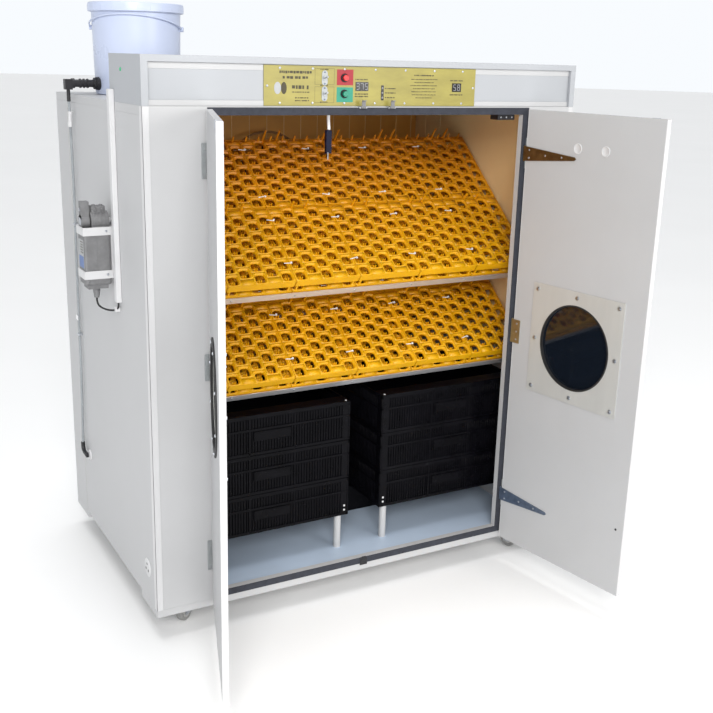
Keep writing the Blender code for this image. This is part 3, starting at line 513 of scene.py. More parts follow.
def tray_rim(bm, x_start, v_start, top):
    x_end = x_start + TRAY_PITCH - TRAY_GAP
    v_end = v_start + BANK_LENGTH
    low = top - 0.0265
    high = top + 0.0004
    box(bm, (x_start - 0.0002, v_start, low), (x_end + 0.0002, v_start + 0.0022, high))
    box(bm, (x_start - 0.0002, v_end - 0.0022, low), (x_end + 0.0002, v_end, high))
    box(bm, (x_start - 0.0003, v_start, low), (x_start + 0.0016, v_end, high))
    box(bm, (x_end - 0.0016, v_start, low), (x_end + 0.0003, v_end, high))


def tray_prongs(bm, x_start, v_start):
    """Two leaning prongs at the front of each cell of the top layer."""
    for col in range(COLUMNS):
        xa = x_start + (col + 0.5) * COLUMN_W
        va = v_start + RIM + (ROW_V / 2 if col % 2 else 0.0) + ROW_V / 2
        for row in range(ROWS):
            v = va + row * ROW_V
            for dx in (-0.0085, -0.001):
                rod(bm, (xa + dx, v - 0.015, TOP_N - 0.01),
                    (xa + dx - 0.0012, v - 0.014, TOP_N + 0.006), 0.0032, 6, 0.0017)


def tray_posts(bm, x_start, v_start):
    """Posts and pins along a tray's rear edge, and the feet between the two layers."""
    rear = v_start + BANK_LENGTH - 0.004
    height = 0.032 if v_start < 0 else 0.048
    for dx in (-0.03, 0.022):
        x = x_start + TRAY_PITCH / 2 + dx
        rod(bm, (x, rear, TOP_N - 0.002), (x, rear, TOP_N + height), 0.0044, 8, 0.003)
    if v_start > 0:
        for col in range(COLUMNS):
            x = x_start + (col + 0.5) * COLUMN_W
            rod(bm, (x, rear, TOP_N - 0.003), (x, rear + 0.002, TOP_N + 0.02), 0.0046, 7, 0.0022)
    for dx in (0.012, TRAY_PITCH - 0.016):
        x = x_start + dx
        for v in (v_start + 0.006, v_start + BANK_LENGTH - 0.006):
            box(bm, (x - 0.003, v - 0.003, TOP_N - LAYER - 0.002), (x + 0.003, v + 0.003, TOP_N - 0.02))


def build_trays(level):
    """Two banks of six trays in two layers, each a staggered grid of open cells."""
    place = rack_frame(level)
    verts = []
    faces = []
    bm = bmesh.new()
    for v_start in (FRONT_BANK, REAR_BANK):
        for tray in range(TRAYS):
            x_start = -TRAY_HALF_X + tray * TRAY_PITCH + TRAY_GAP / 2
            for top in (TOP_N, TOP_N - LAYER):
                tray_cells(verts, faces, x_start, v_start, top)
                tray_rim(bm, x_start, v_start, top)
            tray_prongs(bm, x_start, v_start)
            tray_posts(bm, x_start, v_start)
    sheet = bpy.data.meshes.new(f"setting_tray_cells_{level}")
    sheet.from_pydata(verts, [], faces)
    sheet.transform(place)
    sheet.shade_smooth()
    sheet.set_sharp_from_angle(angle=math.radians(38))
    cells = bpy.data.objects.new(f"setting_tray_cells_{level}", sheet)
    thick = cells.modifiers.new("wall", "SOLIDIFY")
    thick.thickness = 0.0016
    thick.offset = -1.0
    link(cells, YELLOW, f"rack_{level}")
    make(f"setting_tray_rims_{level}", bm, YELLOW, f"rack_{level}", place)
    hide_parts(f"egg_trays_{level}")


def build_ties(level):
    """Cable ties that hold neighbouring trays together."""
    bm = bmesh.new()
    low = TOP_N + 0.0004
    for tray in range(1, TRAYS):
        for v in (-0.235, -0.055, 0.048, 0.262):
            x = -TRAY_HALF_X + tray * TRAY_PITCH + random.uniform(-0.006, 0.006)
            turn = Matrix.Rotation(random.uniform(-0.25, 0.25), 4, "Z")
            box(bm, (x - 0.013, v - 0.0013, low), (x + 0.013, v + 0.0013, TOP_N + 0.0018), turn)
            box(bm, (x + 0.009, v - 0.0028, low), (x + 0.0145, v + 0.0028, TOP_N + 0.0042), turn)
    make(f"cable_ties_{level}", bm, TIE, f"rack_{level}", rack_frame(level))


for rack_level in ("upper", "lower"):
    build_trays(rack_level)
    build_ties(rack_level)


# ------------ hatching crates
CRATE_W = 0.576
CRATE_D = 0.4
CRATE_H = 0.138
WALL = 0.005
CORNER = 0.03


def crate_wall(bm, length, place, label):
    """One wall in its own frame: X along it, Y outwards, Z up; closed bars over a thin web."""
    half = length / 2
    start = len(bm.verts)
    for z0, z1, back in ((0.000, 0.01, 0.0006), (0.084, 0.0915, 0.0), (0.126, CRATE_H, 0.0)):
        box(bm, (-half, -WALL - 0.002, z0), (half, -back, z1))
    box(bm, (-half, -WALL - 0.002, 0.002), (half, -WALL, 0.136))
    for sx in (-1, 1):
        box(bm, (sx * half, -WALL, 0.004), (sx * (half - CORNER), -0.0011, 0.132))
        if label:
            box(bm, (sx * 0.079, -WALL, 0.004), (sx * 0.085, -0.0006, 0.132))
    if label:
        box(bm, (-0.066, -WALL, 0.048), (0.066, -0.0004, 0.08))
        box(bm, (-0.06, -WALL + 0.001, 0.052), (0.06, 0.0, 0.076))
    x = -half + CORNER + 0.009
    while x < half - CORNER - 0.004:
        bars = ((0.008, 0.049), (0.09, 0.128)) if label and abs(x) < 0.068 else ((0.008, 0.128),)
        for z0, z1 in bars:
            box(bm, (x - 0.0014, -WALL, z0), (x + 0.0014, -0.001, z1))
        x += 0.01
    bmesh.ops.transform(bm, matrix=place, verts=list(bm.verts)[start:])


def build_crate(side, level):
    lo, hi = cad_box(f"crate_{side}_{level}")
    bm = bmesh.new()
    cx = (lo.x + hi.x) / 2
    cy = (lo.y + hi.y) / 2
    z = lo.z
    walls = [(CRATE_W, (cx, lo.y, z), math.pi, True), (CRATE_W, (cx, hi.y, z), 0.0, True),
             (CRATE_D, (lo.x, cy, z), math.pi / 2, False), (CRATE_D, (hi.x, cy, z), -math.pi / 2, False)]
    for length, place, turn, label in walls:
        crate_wall(bm, length, Matrix.Translation(place) @ Matrix.Rotation(turn, 4, "Z"), label)
    box(bm, (lo.x + 0.003, lo.y + 0.003, z + 0.0005), (hi.x - 0.003, hi.y - 0.003, z + 0.0035))
    for k in range(1, 12):
        x = lo.x + k * CRATE_W / 12
        box(bm, (x - 0.0015, lo.y + 0.006, z + 0.0034), (x + 0.0015, hi.y - 0.006, z + 0.0065))
    body = "cabinet" if level == "bottom" else f"crate_{side}_{level}"
    obj = make(f"hatching_crate_{side}_{level}", bm, CRATE, body, edge=0.0006,
               segments=1)
    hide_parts(f"crate_{side}_{level}")


def build_crate_fittings(side):
    """The strip and screws on the top crate's front edge, and the screws of the bottom one."""
    body = f"crate_{side}_top"
    low, high = cad_box(body)
    z = high.z - 0.003
    boxes(f"crate_strip_{side}",
          [((low.x + 0.002, low.y + 0.0015, z), (high.x - 0.002, low.y + 0.06, z + 0.004)),
           ((low.x + 0.002, low.y + 0.0012, z - 0.006), (high.x - 0.002, low.y + 0.003, z + 0.004))],
          CRATE, body, edge=0.0012)
    spots = [(x, low.y + 0.01, z + 0.004) for x in (low.x + 0.014, high.x - 0.014)]
    screws(f"strip_screws_{side}", spots, (0, 0, 1), (0.0035, 0.002), TRIM, body)
    low, high = cad_box(f"crate_{side}_bottom")
    spots = [(x, low.y, low.z + dz) for x in (low.x + 0.016, high.x - 0.016) for dz in (0.02, 0.036)]
    screws(f"crate_screws_{side}", spots, (0, -1, 0), (0.0038, 0.002), TRIM)


for crate_side in ("left", "right"):
    for crate_level in ("bottom", "middle", "top"):
        build_crate(crate_side, crate_level)
    build_crate_fittings(crate_side)


# ------------ cabinet trim and inside
RACK_PIVOT_R = 0.016
GUARD_Y = FRONT + 0.7
TRAY_FOOT = 0.0163
VENT = Vector((-HALF, FRONT + 0.082, 0.114))
WATER_TRAY_X = (-0.5, 0.6)
WATER_TRAY_Y = (FRONT + 0.36, FRONT + 0.462)


def build_outer_trim():
    seam = FRONT + 0.82
    spans = [((x0, seam - 0.0008, 0.002), (x1, seam + 0.0008, HEIGHT - 0.026))
             for x0, x1 in ((-HALF - 0.0012, -HALF + 0.0002), (HALF - 0.001, HALF + 0.0001))]
    boxes("side_seams", spans, BOARD_EDGE)
    spans = [((sx * (HALF - inset), FRONT - 0.001, 0.0),
              (sx * (HALF + proud), FRONT + deep, HEIGHT - 0.001))
             for sx, proud in ((-1, 0.001), (1, 0.0001))
             for inset, deep in ((0.0195, 0.0001), (0.001, 0.02))]
    boxes("corner_trim", spans, TRIM, edge=0.0005, segments=1)


def build_liners():
    # Painted shade: a dark brown sheet before the rear panel stands for the shade and the tray-coloured
    # bounce at the back of the cabinet.
    boxes("rear_liner_shaded", [((-INNER_X + 0.0004, BACK - 0.042, 0.017),
                          (INNER_X - 0.0004, BACK - 0.0401, HEIGHT - 0.026))],
          SHADED_BACK_LINER)
    bm = bmesh.new()
    for sx in (-1, 1):
        box(bm, (sx * (INNER_X - 0.0012), FRONT + 0.0226, 0.62),
            (sx * (INNER_X - 0.0001), BACK - 0.0425, HEIGHT - 0.026))
        xs = sorted((sx * (INNER_X - 0.003), sx * (INNER_X - 0.001)))
        for z in (RACK_Z["lower"], RACK_Z["upper"]):
            rod(bm, (xs[0], RACK_Y, z), (xs[1], RACK_Y, z), RACK_PIVOT_R, 24)
    make("side_liners", bm, LINER)


def build_wire_guard():
    bm = bmesh.new()
    x = -0.68
    while x <= 0.681:
        rod(bm, (x, GUARD_Y, 0.66), (x, GUARD_Y, HEIGHT - 0.028), 0.0007, 6)
        x += 0.068
    for z in (0.7, 1.02, 1.34, 1.488):
        rod(bm, (-0.69, GUARD_Y + 0.0025, z), (0.69, GUARD_Y + 0.0025, z), 0.0011, 6)
    make("wire_guard", bm, LINER, slot="zinc_steel")


def build_side_fittings():
    """The clip under the sill, and the vent and lamp on the left side."""
    boxes("sill_clip", [((-0.03, FRONT - 0.0046, -0.006), (-0.002, FRONT - 0.0002, 0.018)),
                        ((-0.024, FRONT - 0.0054, 0.01), (-0.008, FRONT - 0.003, 0.026))],
          BLACK, edge=0.001)
    turned("side_vent", [(0, 0), (0.03, 0), (0.03, 0.0018), (0.028, 0.003), (0.0, 0.003)], 40,
           [VENT + Vector((-0.0001, 0, 0))], (-1, 0, 0), TRIM)
    turns = [math.radians(90 + 120 * k) for k in range(3)]
    turned("side_vent_holes", [(0, 0), (0.0045, 0), (0.0045, 0.0004), (0, 0.0004)], 14,
           [VENT + Vector((-0.003, 0.013 * math.cos(a), 0.013 * math.sin(a))) for a in turns],
           (-1, 0, 0), BLACK)
    turned("side_lamp", [(0, 0), (0.0055, 0), (0.0055, 0.0014), (0.003, 0.0026), (0, 0.0028)], 20,
           [(-HALF - 0.0001, FRONT + 0.184, HEIGHT + 0.092)], (-1, 0, 0), LAMP_GREEN)


def build_inner_fittings():
    boxes("lamp_box", [((0.462, FRONT + 0.03, HEIGHT - 0.044), (0.53, FRONT + 0.074, CEILING))],
          BLACK, edge=0.002)
    screws("lamp_box_screws", [(x, FRONT + 0.03, HEIGHT - 0.035) for x in (0.474, 0.496, 0.518)],
           (0, -1, 0), (0.003, 0.0012), ZINC)
    bm = bmesh.new()
    hook_y = FRONT + 0.06
    rod(bm, (INNER_X - 0.0012, hook_y, 0.33), (INNER_X - 0.022, hook_y, 0.33), 0.002, 8)
    rod(bm, (INNER_X - 0.021, hook_y, 0.328), (INNER_X - 0.021, hook_y, 0.35), 0.002, 8)
    make("wall_hook", bm, ZINC)


def build_hatcher_floor():
    boxes("hatcher_floor_sheet", [((-INNER_X + 0.0006, FRONT + 0.0226, 0.0158),
                                   (INNER_X - 0.0006, BACK - 0.043, 0.0164))],
          HATCH_FLOOR)
    x0, x1 = WATER_TRAY_X
    y0, y1 = WATER_TRAY_Y
    low = 0.0185
    high = 0.118
    boxes("water_tray", [((x0, y0, TRAY_FOOT), (x1, y1, 0.019)),
                         ((x0, y0, low), (x1, y0 + 0.003, high)),
                         ((x0, y1 - 0.003, low), (x1, y1, high)),
                         ((x0, y0 + 0.0025, low), (x0 + 0.003, y1 - 0.0025, high)),
                         ((x1 - 0.003, y0 + 0.0025, low), (x1, y1 - 0.0025, high))],
          CRATE, edge=0.0008, segments=1)


build_outer_trim()
build_liners()
build_wire_guard()
build_side_fittings()
build_inner_fittings()
build_hatcher_floor()


# ------------ fascia and control plate
PANEL_Y = FRONT + 0.0087
PLATE_LO, PLATE_HI = cad_box("control_panel")
PANEL_HEAD = (0.0036, 0.002)
SWITCH_X = -0.192
SWITCH_Z = (HEIGHT + 0.081, HEIGHT + 0.036)
DIGITS = {"8": "abcdefg", "3": "abcdg", "7": "abc", "5": "acdfg"}
LEGENDS = (
    [(-0.338, -0.235, 0.096, 0.0085), (-0.328, -0.245, 0.081, 0.0085), (-0.298, -0.24, 0.054, 0.012),
     (-0.298, -0.24, 0.04, 0.0035), (-0.288, -0.245, 0.024, 0.004), (-0.288, -0.242, 0.016, 0.004)]
    + [(-0.206, -0.178, z, 0.0038) for z in (0.105, 0.06, 0.012)]
    + [(-0.09, -0.044, z, 0.004) for z in (0.078, 0.036, 0.029)]
    + [(0.015, 0.052, z, 0.0038) for z in (0.053, 0.04, 0.026)]
    + [(0.155 - half, 0.155 + half, 0.026 + row * 0.0092, 0.0026)
       for row, half in enumerate((0.03, 0.044, 0.046, 0.04, 0.05, 0.036, 0.048))]
    + [(0.118, 0.192, 0.093, 0.0048), (0.252, 0.3, 0.079, 0.004), (0.252, 0.3, 0.036, 0.004)])


def panel_box(bm, x0, x1, z0, z1, proud, back=0.0):
    """A box on the control plate, from back to proud in front of its face."""
    box(bm, (x0, PANEL_Y - proud, z0), (x1, PANEL_Y - back, z1))


def digit(bm, x, z, mark):
    """A seven-segment digit round (x, z)."""
    w = 0.0078
    h = 0.0175
    t = h * 0.11
    places = {"a": (x, z + h / 2, w, t), "g": (x, z, w, t), "d": (x, z - h / 2, w, t),
              "b": (x + w / 2, z + h / 4, t, h / 2), "c": (x + w / 2, z - h / 4, t, h / 2),
              "f": (x - w / 2, z + h / 4, t, h / 2), "e": (x - w / 2, z - h / 4, t, h / 2)}
    for seg in DIGITS[mark]:
        cx, cz, dx, dz = places[seg]
        panel_box(bm, cx - dx / 2, cx + dx / 2, cz - dz / 2, cz + dz / 2, 0.00165, 0.001)


def legend(bm, x0, x1, z, height):
    """A printed line of the panel's legend, drawn as plain strokes with no letters."""
    x = x0
    while x < x1 - height * 0.6:
        w = random.choice((0.5, 0.8, 1.1)) * height
        panel_box(bm, x, min(x + w, x1), z - height * random.uniform(0.32, 0.5), z + height * 0.42, 0.00035)
        x += w + height * random.choice((0.22, 0.22, 0.7))


def frame_lines(bm, x0, x1, z0, z1):
    """The thin printed border round a pair of switch legends."""
    line = 0.0006
    for x in (x0, x1 - line):
        panel_box(bm, x, x + line, z0, z1, 0.0003)
    for z in (z0, z1 - line):
        panel_box(bm, x0, x1, z, z + line, 0.0003)


def build_panel_screws():
    spots = []
    for k in range(7):
        x = PLATE_LO.x + 0.05 + k * (PLATE_HI.x - PLATE_LO.x - 0.1) / 6
        spots.extend([(x, PANEL_Y, PLATE_HI.z - 0.008), (x, PANEL_Y, PLATE_LO.z + 0.008)])
    spots.extend([(x, PANEL_Y, HEIGHT + 0.057) for x in (PLATE_LO.x + 0.01, PLATE_HI.x - 0.008)])
    screws("panel_screws", spots, (0, -1, 0), PANEL_HEAD, ZINC)


def build_buttons():
    """The two coloured labels, and the collars of the buttons that stand on them."""
    for name, mat, z0, z1 in (("label_red", RED_LABEL, 0.061, 0.106),
                                    ("label_green", GREEN_LABEL, 0.012, 0.055)):
        bm = bmesh.new()
        panel_box(bm, -0.1515, -0.0963, HEIGHT + z0, HEIGHT + z1, 0.0004)
        make(name, bm, mat)
    turned("button_collars", [(0, 0), (0.0125, 0), (0.0125, 0.0022), (0.0108, 0.004), (0.0092, 0.004),
                              (0.0092, 0.0003), (0, 0.0003)], 28,
           [(-0.126, PANEL_Y - 0.0004, HEIGHT + z) for z in (0.082, 0.036)], (0, -1, 0),
           BLACK)


def build_switch_plates():
    bm = bmesh.new()
    face = PANEL_Y - 0.0012
    for z in SWITCH_Z:
        for dz in (-0.012, 0.012):
            rod(bm, (SWITCH_X, PANEL_Y, z + dz), (SWITCH_X, face, z + dz), 0.0095, 20)
        panel_box(bm, SWITCH_X - 0.0095, SWITCH_X + 0.0095, z - 0.012, z + 0.012, 0.00125)
        rod(bm, (SWITCH_X, face, z - 0.003), (SWITCH_X, face - 0.0012, z - 0.003), 0.006, 6)
    make("toggle_plates", bm, PLATED, edge=0.0002, segments=1)
    spots = [(SWITCH_X, face, z + dz) for z in SWITCH_Z for dz in (-0.0165, 0.0165)]
    screws("toggle_screws", spots, (0, -1, 0), (0.0026, 0.0012), BLUED)


def build_displays():
    bm = bmesh.new()
    for x0, x1, z0, z1 in ((-0.088, -0.044, 0.045, 0.071), (0.259, 0.293, 0.045, 0.071),
                           (0.001, 0.01, 0.018, 0.062)):
        panel_box(bm, x0, x1, HEIGHT + z0, HEIGHT + z1, 0.0011)
    make("display_windows", bm, DISPLAY)
    bm = bmesh.new()
    for marks, x, pitch in (("375", -0.0805, 0.0145), ("58", 0.2685, 0.015)):
        for k, mark in enumerate(marks):
            digit(bm, x + k * pitch, HEIGHT + 0.058, mark)
    make("display_digits", bm, LED_OFF, smooth=False)
    turned("status_lamps", [(0, 0.0009), (0.003, 0.0009), (0.003, 0.0016), (0.0015, 0.0026), (0, 0.0028)],
           14, [(0.0055, PANEL_Y, HEIGHT + z) for z in (0.054, 0.04, 0.026)], (0, -1, 0),
           LED_OFF)


def build_legends():
    bm = bmesh.new()
    for x0, x1, z, height in LEGENDS:
        legend(bm, x0, x1, HEIGHT + z, height)
    for z0, z1 in ((0.062, 0.108), (0.01, 0.056)):
        frame_lines(bm, -0.224, -0.16, HEIGHT + z0, HEIGHT + z1)
    make("panel_legends", bm, INK, smooth=False)
    for number, (x, w, mat) in enumerate(((-0.344, 0.022, LABEL_GREY), (-0.324, 0.018, INK))):
        bm = bmesh.new()
        oval = Matrix.Diagonal((w / 2, 0.017, 1, 1))
        bmesh.ops.create_cone(bm, cap_ends=True, segments=28, radius1=1, radius2=1,
                              depth=0.0008 + 0.0004 * number,
                              matrix=aim((x, PANEL_Y, HEIGHT + 0.051), (0, -1, 0)) @ oval)
        make(f"panel_egg_mark_{number}", bm, mat, slot="black_plastic")


def build_fascia_steps():
    """The stepped edges above and below the fascia's board, on each side of the plate."""
    lip = 0.018
    top = HEIGHT + 0.135 - lip
    spans = [((x0, FRONT + front, z0), (x1, FRONT + 0.0121, z1))
             for front, z0, z1 in ((0.0105, top - lip, top - 0.0004),
                                   (0.008, HEIGHT + 0.0004, HEIGHT + 0.016))
             for x0, x1 in ((-HALF + 0.0202, PLATE_LO.x - 0.001), (PLATE_HI.x + 0.001, HALF - 0.0202))]
    boxes("fascia_steps", spans, BOARD, edge=0.0005, segments=1)


def build_catch_plates():
    bm = bmesh.new()
    high = HEIGHT - 0.0003
    y = FRONT - 0.007
    z = HEIGHT - 0.003
    for x in (-0.069, 0.032):
        box(bm, (x - 0.016, FRONT - 0.0024, HEIGHT - 0.0085), (x + 0.016, FRONT - 0.0003, high))
        for sx in (-1, 1):
            box(bm, (x + sx * 0.0098, FRONT - 0.01, HEIGHT - 0.006),
                (x + sx * 0.0118, FRONT - 0.0022, high))
        for x0, x1 in ((x - 0.0128, x - 0.0096), (x + 0.0096, x + 0.0128)):
            rod(bm, (x0, y, z), (x1, y, z), 0.0028, 12)
    make("catch_plates", bm, ZINC, edge=0.0004, segments=1)


build_panel_screws()
build_buttons()
build_switch_plates()
build_displays()
build_legends()
build_fascia_steps()
build_catch_plates()


# ------------ doors
STRAPS = (("top", 1.381, 0.0235), ("middle", 0.773, 0.041), ("bottom", 0.156, 0.0235))
KNUCKLES = 5
WINDOW_X = 0.2805
WINDOW_Z = 0.772


def build_hinges(side):
    """The screws and knuckles of a door's strap hinges, and their plates on the cabinet."""
    place, s = door_frame(side)
    body = f"door_{side}"
    for level, z, tall in STRAPS:
        if level == "middle":
            spots = [(0.024, dz) for dz in (-0.028, 0.0, 0.028)]
        else:
            spots = [(0.024, -0.013), (0.024, 0.013), (0.095, 0.0), (0.165, 0.0)]
        screws(f"hinge_screws_{side}_{level}", [(s * u, PLATE_Y - 0.0001, z + dz) for u, dz in spots],
               (0, 1, 0), (0.0036, 0.0016), ZINC, body, place)
        bm = bmesh.new()
        for k in range(KNUCKLES):
            a = z - tall + 2 * tall * k / KNUCKLES
            b = a + 2 * tall / KNUCKLES
            rod(bm, (0, 0, a + 0.0006), (0, 0, b - 0.0006), 0.0046, 20)
        rod(bm, (0, 0, z + tall), (0, 0, z + tall + 0.0022), 0.0036, 16, 0.002)
        rod(bm, (0, 0, z - tall - 0.0022), (0, 0, z - tall), 0.002, 16, 0.0036)
        make(f"hinge_knuckles_{side}_{level}", bm, STRAP_METAL[level], body, place)

    bm = bmesh.new()
    x0 = -s * (HINGE_X + 0.006)
    x1 = -s * (HINGE_X + 0.03)
    for level, z, tall in STRAPS:
        high = tall * (2.13 if level != "middle" else 1.0)
        box(bm, (x0, FRONT - 0.005, z - high), (x1, FRONT - 0.0029, z + high))
        box(bm, (x0, FRONT - 0.003, z - high), (x1, FRONT - 0.0001, z + high))
        for dz in (-high * 0.65, 0.0, high * 0.65):
            screw_head(bm, (-s * (HINGE_X + 0.02), FRONT - 0.005, z + dz), (0, -1, 0), 0.0034, 0.0015)
    make(f"hinge_plates_{side}", bm, PLATED, edge=0.0004, segments=1)


def build_door_edges(side):
    place, s = door_frame(side)
    body = f"door_{side}"
    boxes(f"door_edging_{side}",
          [((s * x0, DOOR_OUTER - 0.0005, -0.0138), (s * x1, DOOR_INNER + 0.0003, 1.5238))
           for x0, x1 in ((0.0084, 0.0106), (0.5484, 0.5506))],
          TRIM, body, place=place)
    boxes(f"door_keeper_{side}",
          [((s * 0.488, DOOR_OUTER - 0.0018, 1.502), (s * 0.512, DOOR_OUTER - 0.0002, 1.5239)),
           ((s * 0.488, DOOR_OUTER - 0.0018, 1.5225), (s * 0.512, DOOR_OUTER + 0.008, 1.525))],
          ZINC, body, place=place, edge=0.0003, segments=1)


def build_window(side):
    """Bolts on both faces of a door's window, and its rubber gasket."""
    place, s = door_frame(side)
    body = f"door_{side}"
    x = s * WINDOW_X
    bm = bmesh.new()
    for dx in (-0.17, 0.0, 0.17):
        for dz in (-0.17, 0.0, 0.17):
            if dx or dz:
                lathe(bm, [(0, 0), (0.0068, 0), (0.0068, 0.0014), (0, 0.0014)], 20,
                      aim((x + dx, PLATE_Y, WINDOW_Z + dz), (0, 1, 0)))
                bolt = aim((x + dx, PLATE_Y + 0.0014, WINDOW_Z + dz), (0, 1, 0))
                bmesh.ops.create_cone(bm, cap_ends=True, segments=6, radius1=0.0048, radius2=0.0044,
                                      depth=0.0034, matrix=bolt @ Matrix.Translation((0, 0, 0.0017)))
    for k in range(8):
        a = math.radians(22.5 + 45 * k)
        at = (x + 0.153 * math.cos(a), DOOR_OUTER - 0.0044, WINDOW_Z + 0.153 * math.sin(a))
        lathe(bm, [(0, 0), (0.0046, 0), (0.0042, 0.002), (0.002, 0.0032), (0, 0.0034)], 16,
              aim(at, (0, -1, 0)))
    make(f"window_bolts_{side}", bm, ZINC, body, place)

    bm = bmesh.new()
    indoors = aim((x, PLATE_Y, WINDOW_Z), (0, 1, 0))
    ring(bm, [(0.1388, -0.0093), (0.1388, 0.0006), (0.14085, 0.0006), (0.14085, -0.0093)], 96, indoors)
    ring(bm, [(0.1407, -0.0001), (0.1407, 0.0006), (0.142, 0.0012), (0.144, 0.0009), (0.1445, -0.0001)],
         96, indoors)
    ring(bm, [(0.139, -0.003), (0.139, 0.0038), (0.141, 0.0045), (0.162, 0.0045),
              (0.1646, 0.0034), (0.165, 0.0004), (0.1408, 0.0004), (0.1408, -0.003)],
         96, aim((x, DOOR_OUTER - 0.0001, WINDOW_Z), (0, -1, 0)))
    make(f"window_gasket_{side}", bm, RUBBER, body, place)


def build_vent_plugs():
    place, s = door_frame("right")
    turned("vent_plugs", [(0, 0), (0.0165, 0), (0.0165, 0.0012), (0.015, 0.002), (0.0125, 0.0006),
                          (0, 0.0006)], 32, [(s * u, DOOR_INNER, 1.4145) for u in (0.227, 0.338)],
           (0, 1, 0), TRIM, "door_right", place)
    turned("door_bumper", [(0, 0), (0.004, 0), (0.004, 0.0008), (0, 0.0008)], 16,
           [(s * 0.52, DOOR_INNER, 0.216)], (0, 1, 0), BLACK, "door_right", place)


for door_side in ("left", "right"):
    build_hinges(door_side)
    build_door_edges(door_side)
    build_window(door_side)
build_vent_plugs()


# ------------ racks: hardware
def build_rack_hardware(level):
    bm = bmesh.new()
    for sx in (-1, 1):
        for v in (-0.305, -0.15, 0.0, 0.15, 0.305):
            screw_head(bm, (sx * 0.699, v, -0.048), (-sx, 0, 0), 0.004, 0.0016)
    for k in range(7):
        screw_head(bm, (-0.66 + k * 0.22, -0.3155, -0.047), (0, -1, 0), 0.0036, 0.0016)
    make(f"rack_screws_{level}", bm, ZINC, f"rack_{level}", rack_frame(level))


for rack_level in ("upper", "lower"):
    build_rack_hardware(rack_level)


# ------------ tilt motor side
MOTOR_X = -HALF - 0.094
SHAFT_Z = RACK_Z["upper"]
LEVER_X = (-HALF - 0.093, -HALF - 0.0685)


def build_motor_details():
    """The motor's parting line and the ribs and screws of its gear head."""
    bm = bmesh.new()
    box(bm, (MOTOR_X + 0.039, RACK_Y - 0.0368, 0.984), (MOTOR_X + 0.041, RACK_Y - 0.0355, 1.156))
    for z in (0.992, 1.15):
        screw_head(bm, (MOTOR_X + 0.012, RACK_Y - 0.0359, z), (0, -1, 0), 0.0036, 0.0016)
    make("motor_seam", bm, CAST)
    bm = bmesh.new()
    for k in range(4):
        x = -HALF - 0.06 + k * 0.011
        rod(bm, (x, RACK_Y, SHAFT_Z), (x + 0.0045, RACK_Y, SHAFT_Z), 0.0318, 32)
    for x in (-HALF - 0.052, -HALF - 0.03):
        screw_head(bm, (x, RACK_Y - 0.016, SHAFT_Z + 0.036), (0, -1, 0), 0.0055, 0.005)
        screw_head(bm, (x, RACK_Y, SHAFT_Z + 0.0459), (0, 0, 1), 0.006, 0.0045)
    make("gear_head_ribs", bm, CAST, edge=0.0006, segments=1)


def build_motor_label():
    low = 1.032
    boxes("motor_label",
          [((MOTOR_X - 0.0005, RACK_Y - 0.026, low), (MOTOR_X + 0.0005, RACK_Y + 0.026, 1.118))],
          LABEL_GREY)
    boxes("motor_label_band",
          [((MOTOR_X - 0.0009, RACK_Y - 0.025, low), (MOTOR_X - 0.0004, RACK_Y + 0.025, 1.068))],
          LABEL_BLUE)
    bm = bmesh.new()
    for k in range(5):
        z = 1.078 + k * 0.008
        end = RACK_Y + 0.006 + 0.003 * (k % 3)
        box(bm, (MOTOR_X - 0.0008, RACK_Y - 0.021, z), (MOTOR_X - 0.0004, end, z + 0.003))
    make("motor_label_lines", bm, INK, smooth=False)


def build_shaft_lever():
    """The cast lever that turns the upper rack, with its two bolts."""
    x0, x1 = LEVER_X
    bm = bmesh.new()
    box(bm, (x0, RACK_Y - 0.0145, SHAFT_Z), (x1, RACK_Y + 0.0145, SHAFT_Z + 0.0606))
    rod(bm, (x0, RACK_Y, SHAFT_Z), (x1, RACK_Y, SHAFT_Z), 0.0215, 40)
    make("shaft_lever", bm, CAST, "rack_upper", edge=0.0012)
    bm = bmesh.new()
    rod(bm, (x0 - 0.0014, RACK_Y, SHAFT_Z), (x0, RACK_Y, SHAFT_Z), 0.012, 32)
    rod(bm, (x0 - 0.0026, RACK_Y, SHAFT_Z + 0.036), (x0, RACK_Y, SHAFT_Z + 0.036), 0.0055, 6)
    make("lever_bolts", bm, ZINC, "rack_upper")


build_motor_details()
build_motor_label()
build_shaft_lever()
screws("bracket_screws", [(MOTOR_X + 0.068, RACK_Y - 0.0388, z) for z in (1.1455, 1.0115)],
       (0, -1, 0), (0.004, 0.002), ZINC)
boxes("lead_clip", [((-HALF - 0.015, -0.208, 0.8975), (-HALF - 0.0002, -0.193, 0.912))],
      TRIM, edge=0.001)


# ------------ water supply
OUTLET_Y = FRONT + 0.725
OUTLET_Z = HEIGHT + 0.036
BAIL_AXIS = (0.871, -0.491, 0.0)
LID_RIBS = 24


def build_pail():
    low = cad_box("water_pail")[0]
    bm = bmesh.new()
    lathe(bm, [(0.0, 0.0), (0.134, 0.0), (0.139, 0.002), (0.141, 0.006), (0.1447, 0.196),
               (0.1466, 0.286), (0.147, 0.2866), (0.147, 0.288), (0.144, 0.288), (0.138, 0.0035),
               (0.0, 0.003)], 96, Matrix.Translation((PAIL_X, PAIL_Y, low.z)))
    across = Vector(BAIL_AXIS).normalized()
    for sign in (-1, 1):
        boss = Vector((PAIL_X, PAIL_Y, low.z + 0.215)) + across * sign * 0.1425
        rod(bm, boss, boss + across * sign * 0.0043, 0.01, 24, 0.0085)
    pail = make("roof_pail", bm, PAIL)
    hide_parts("water_pail")


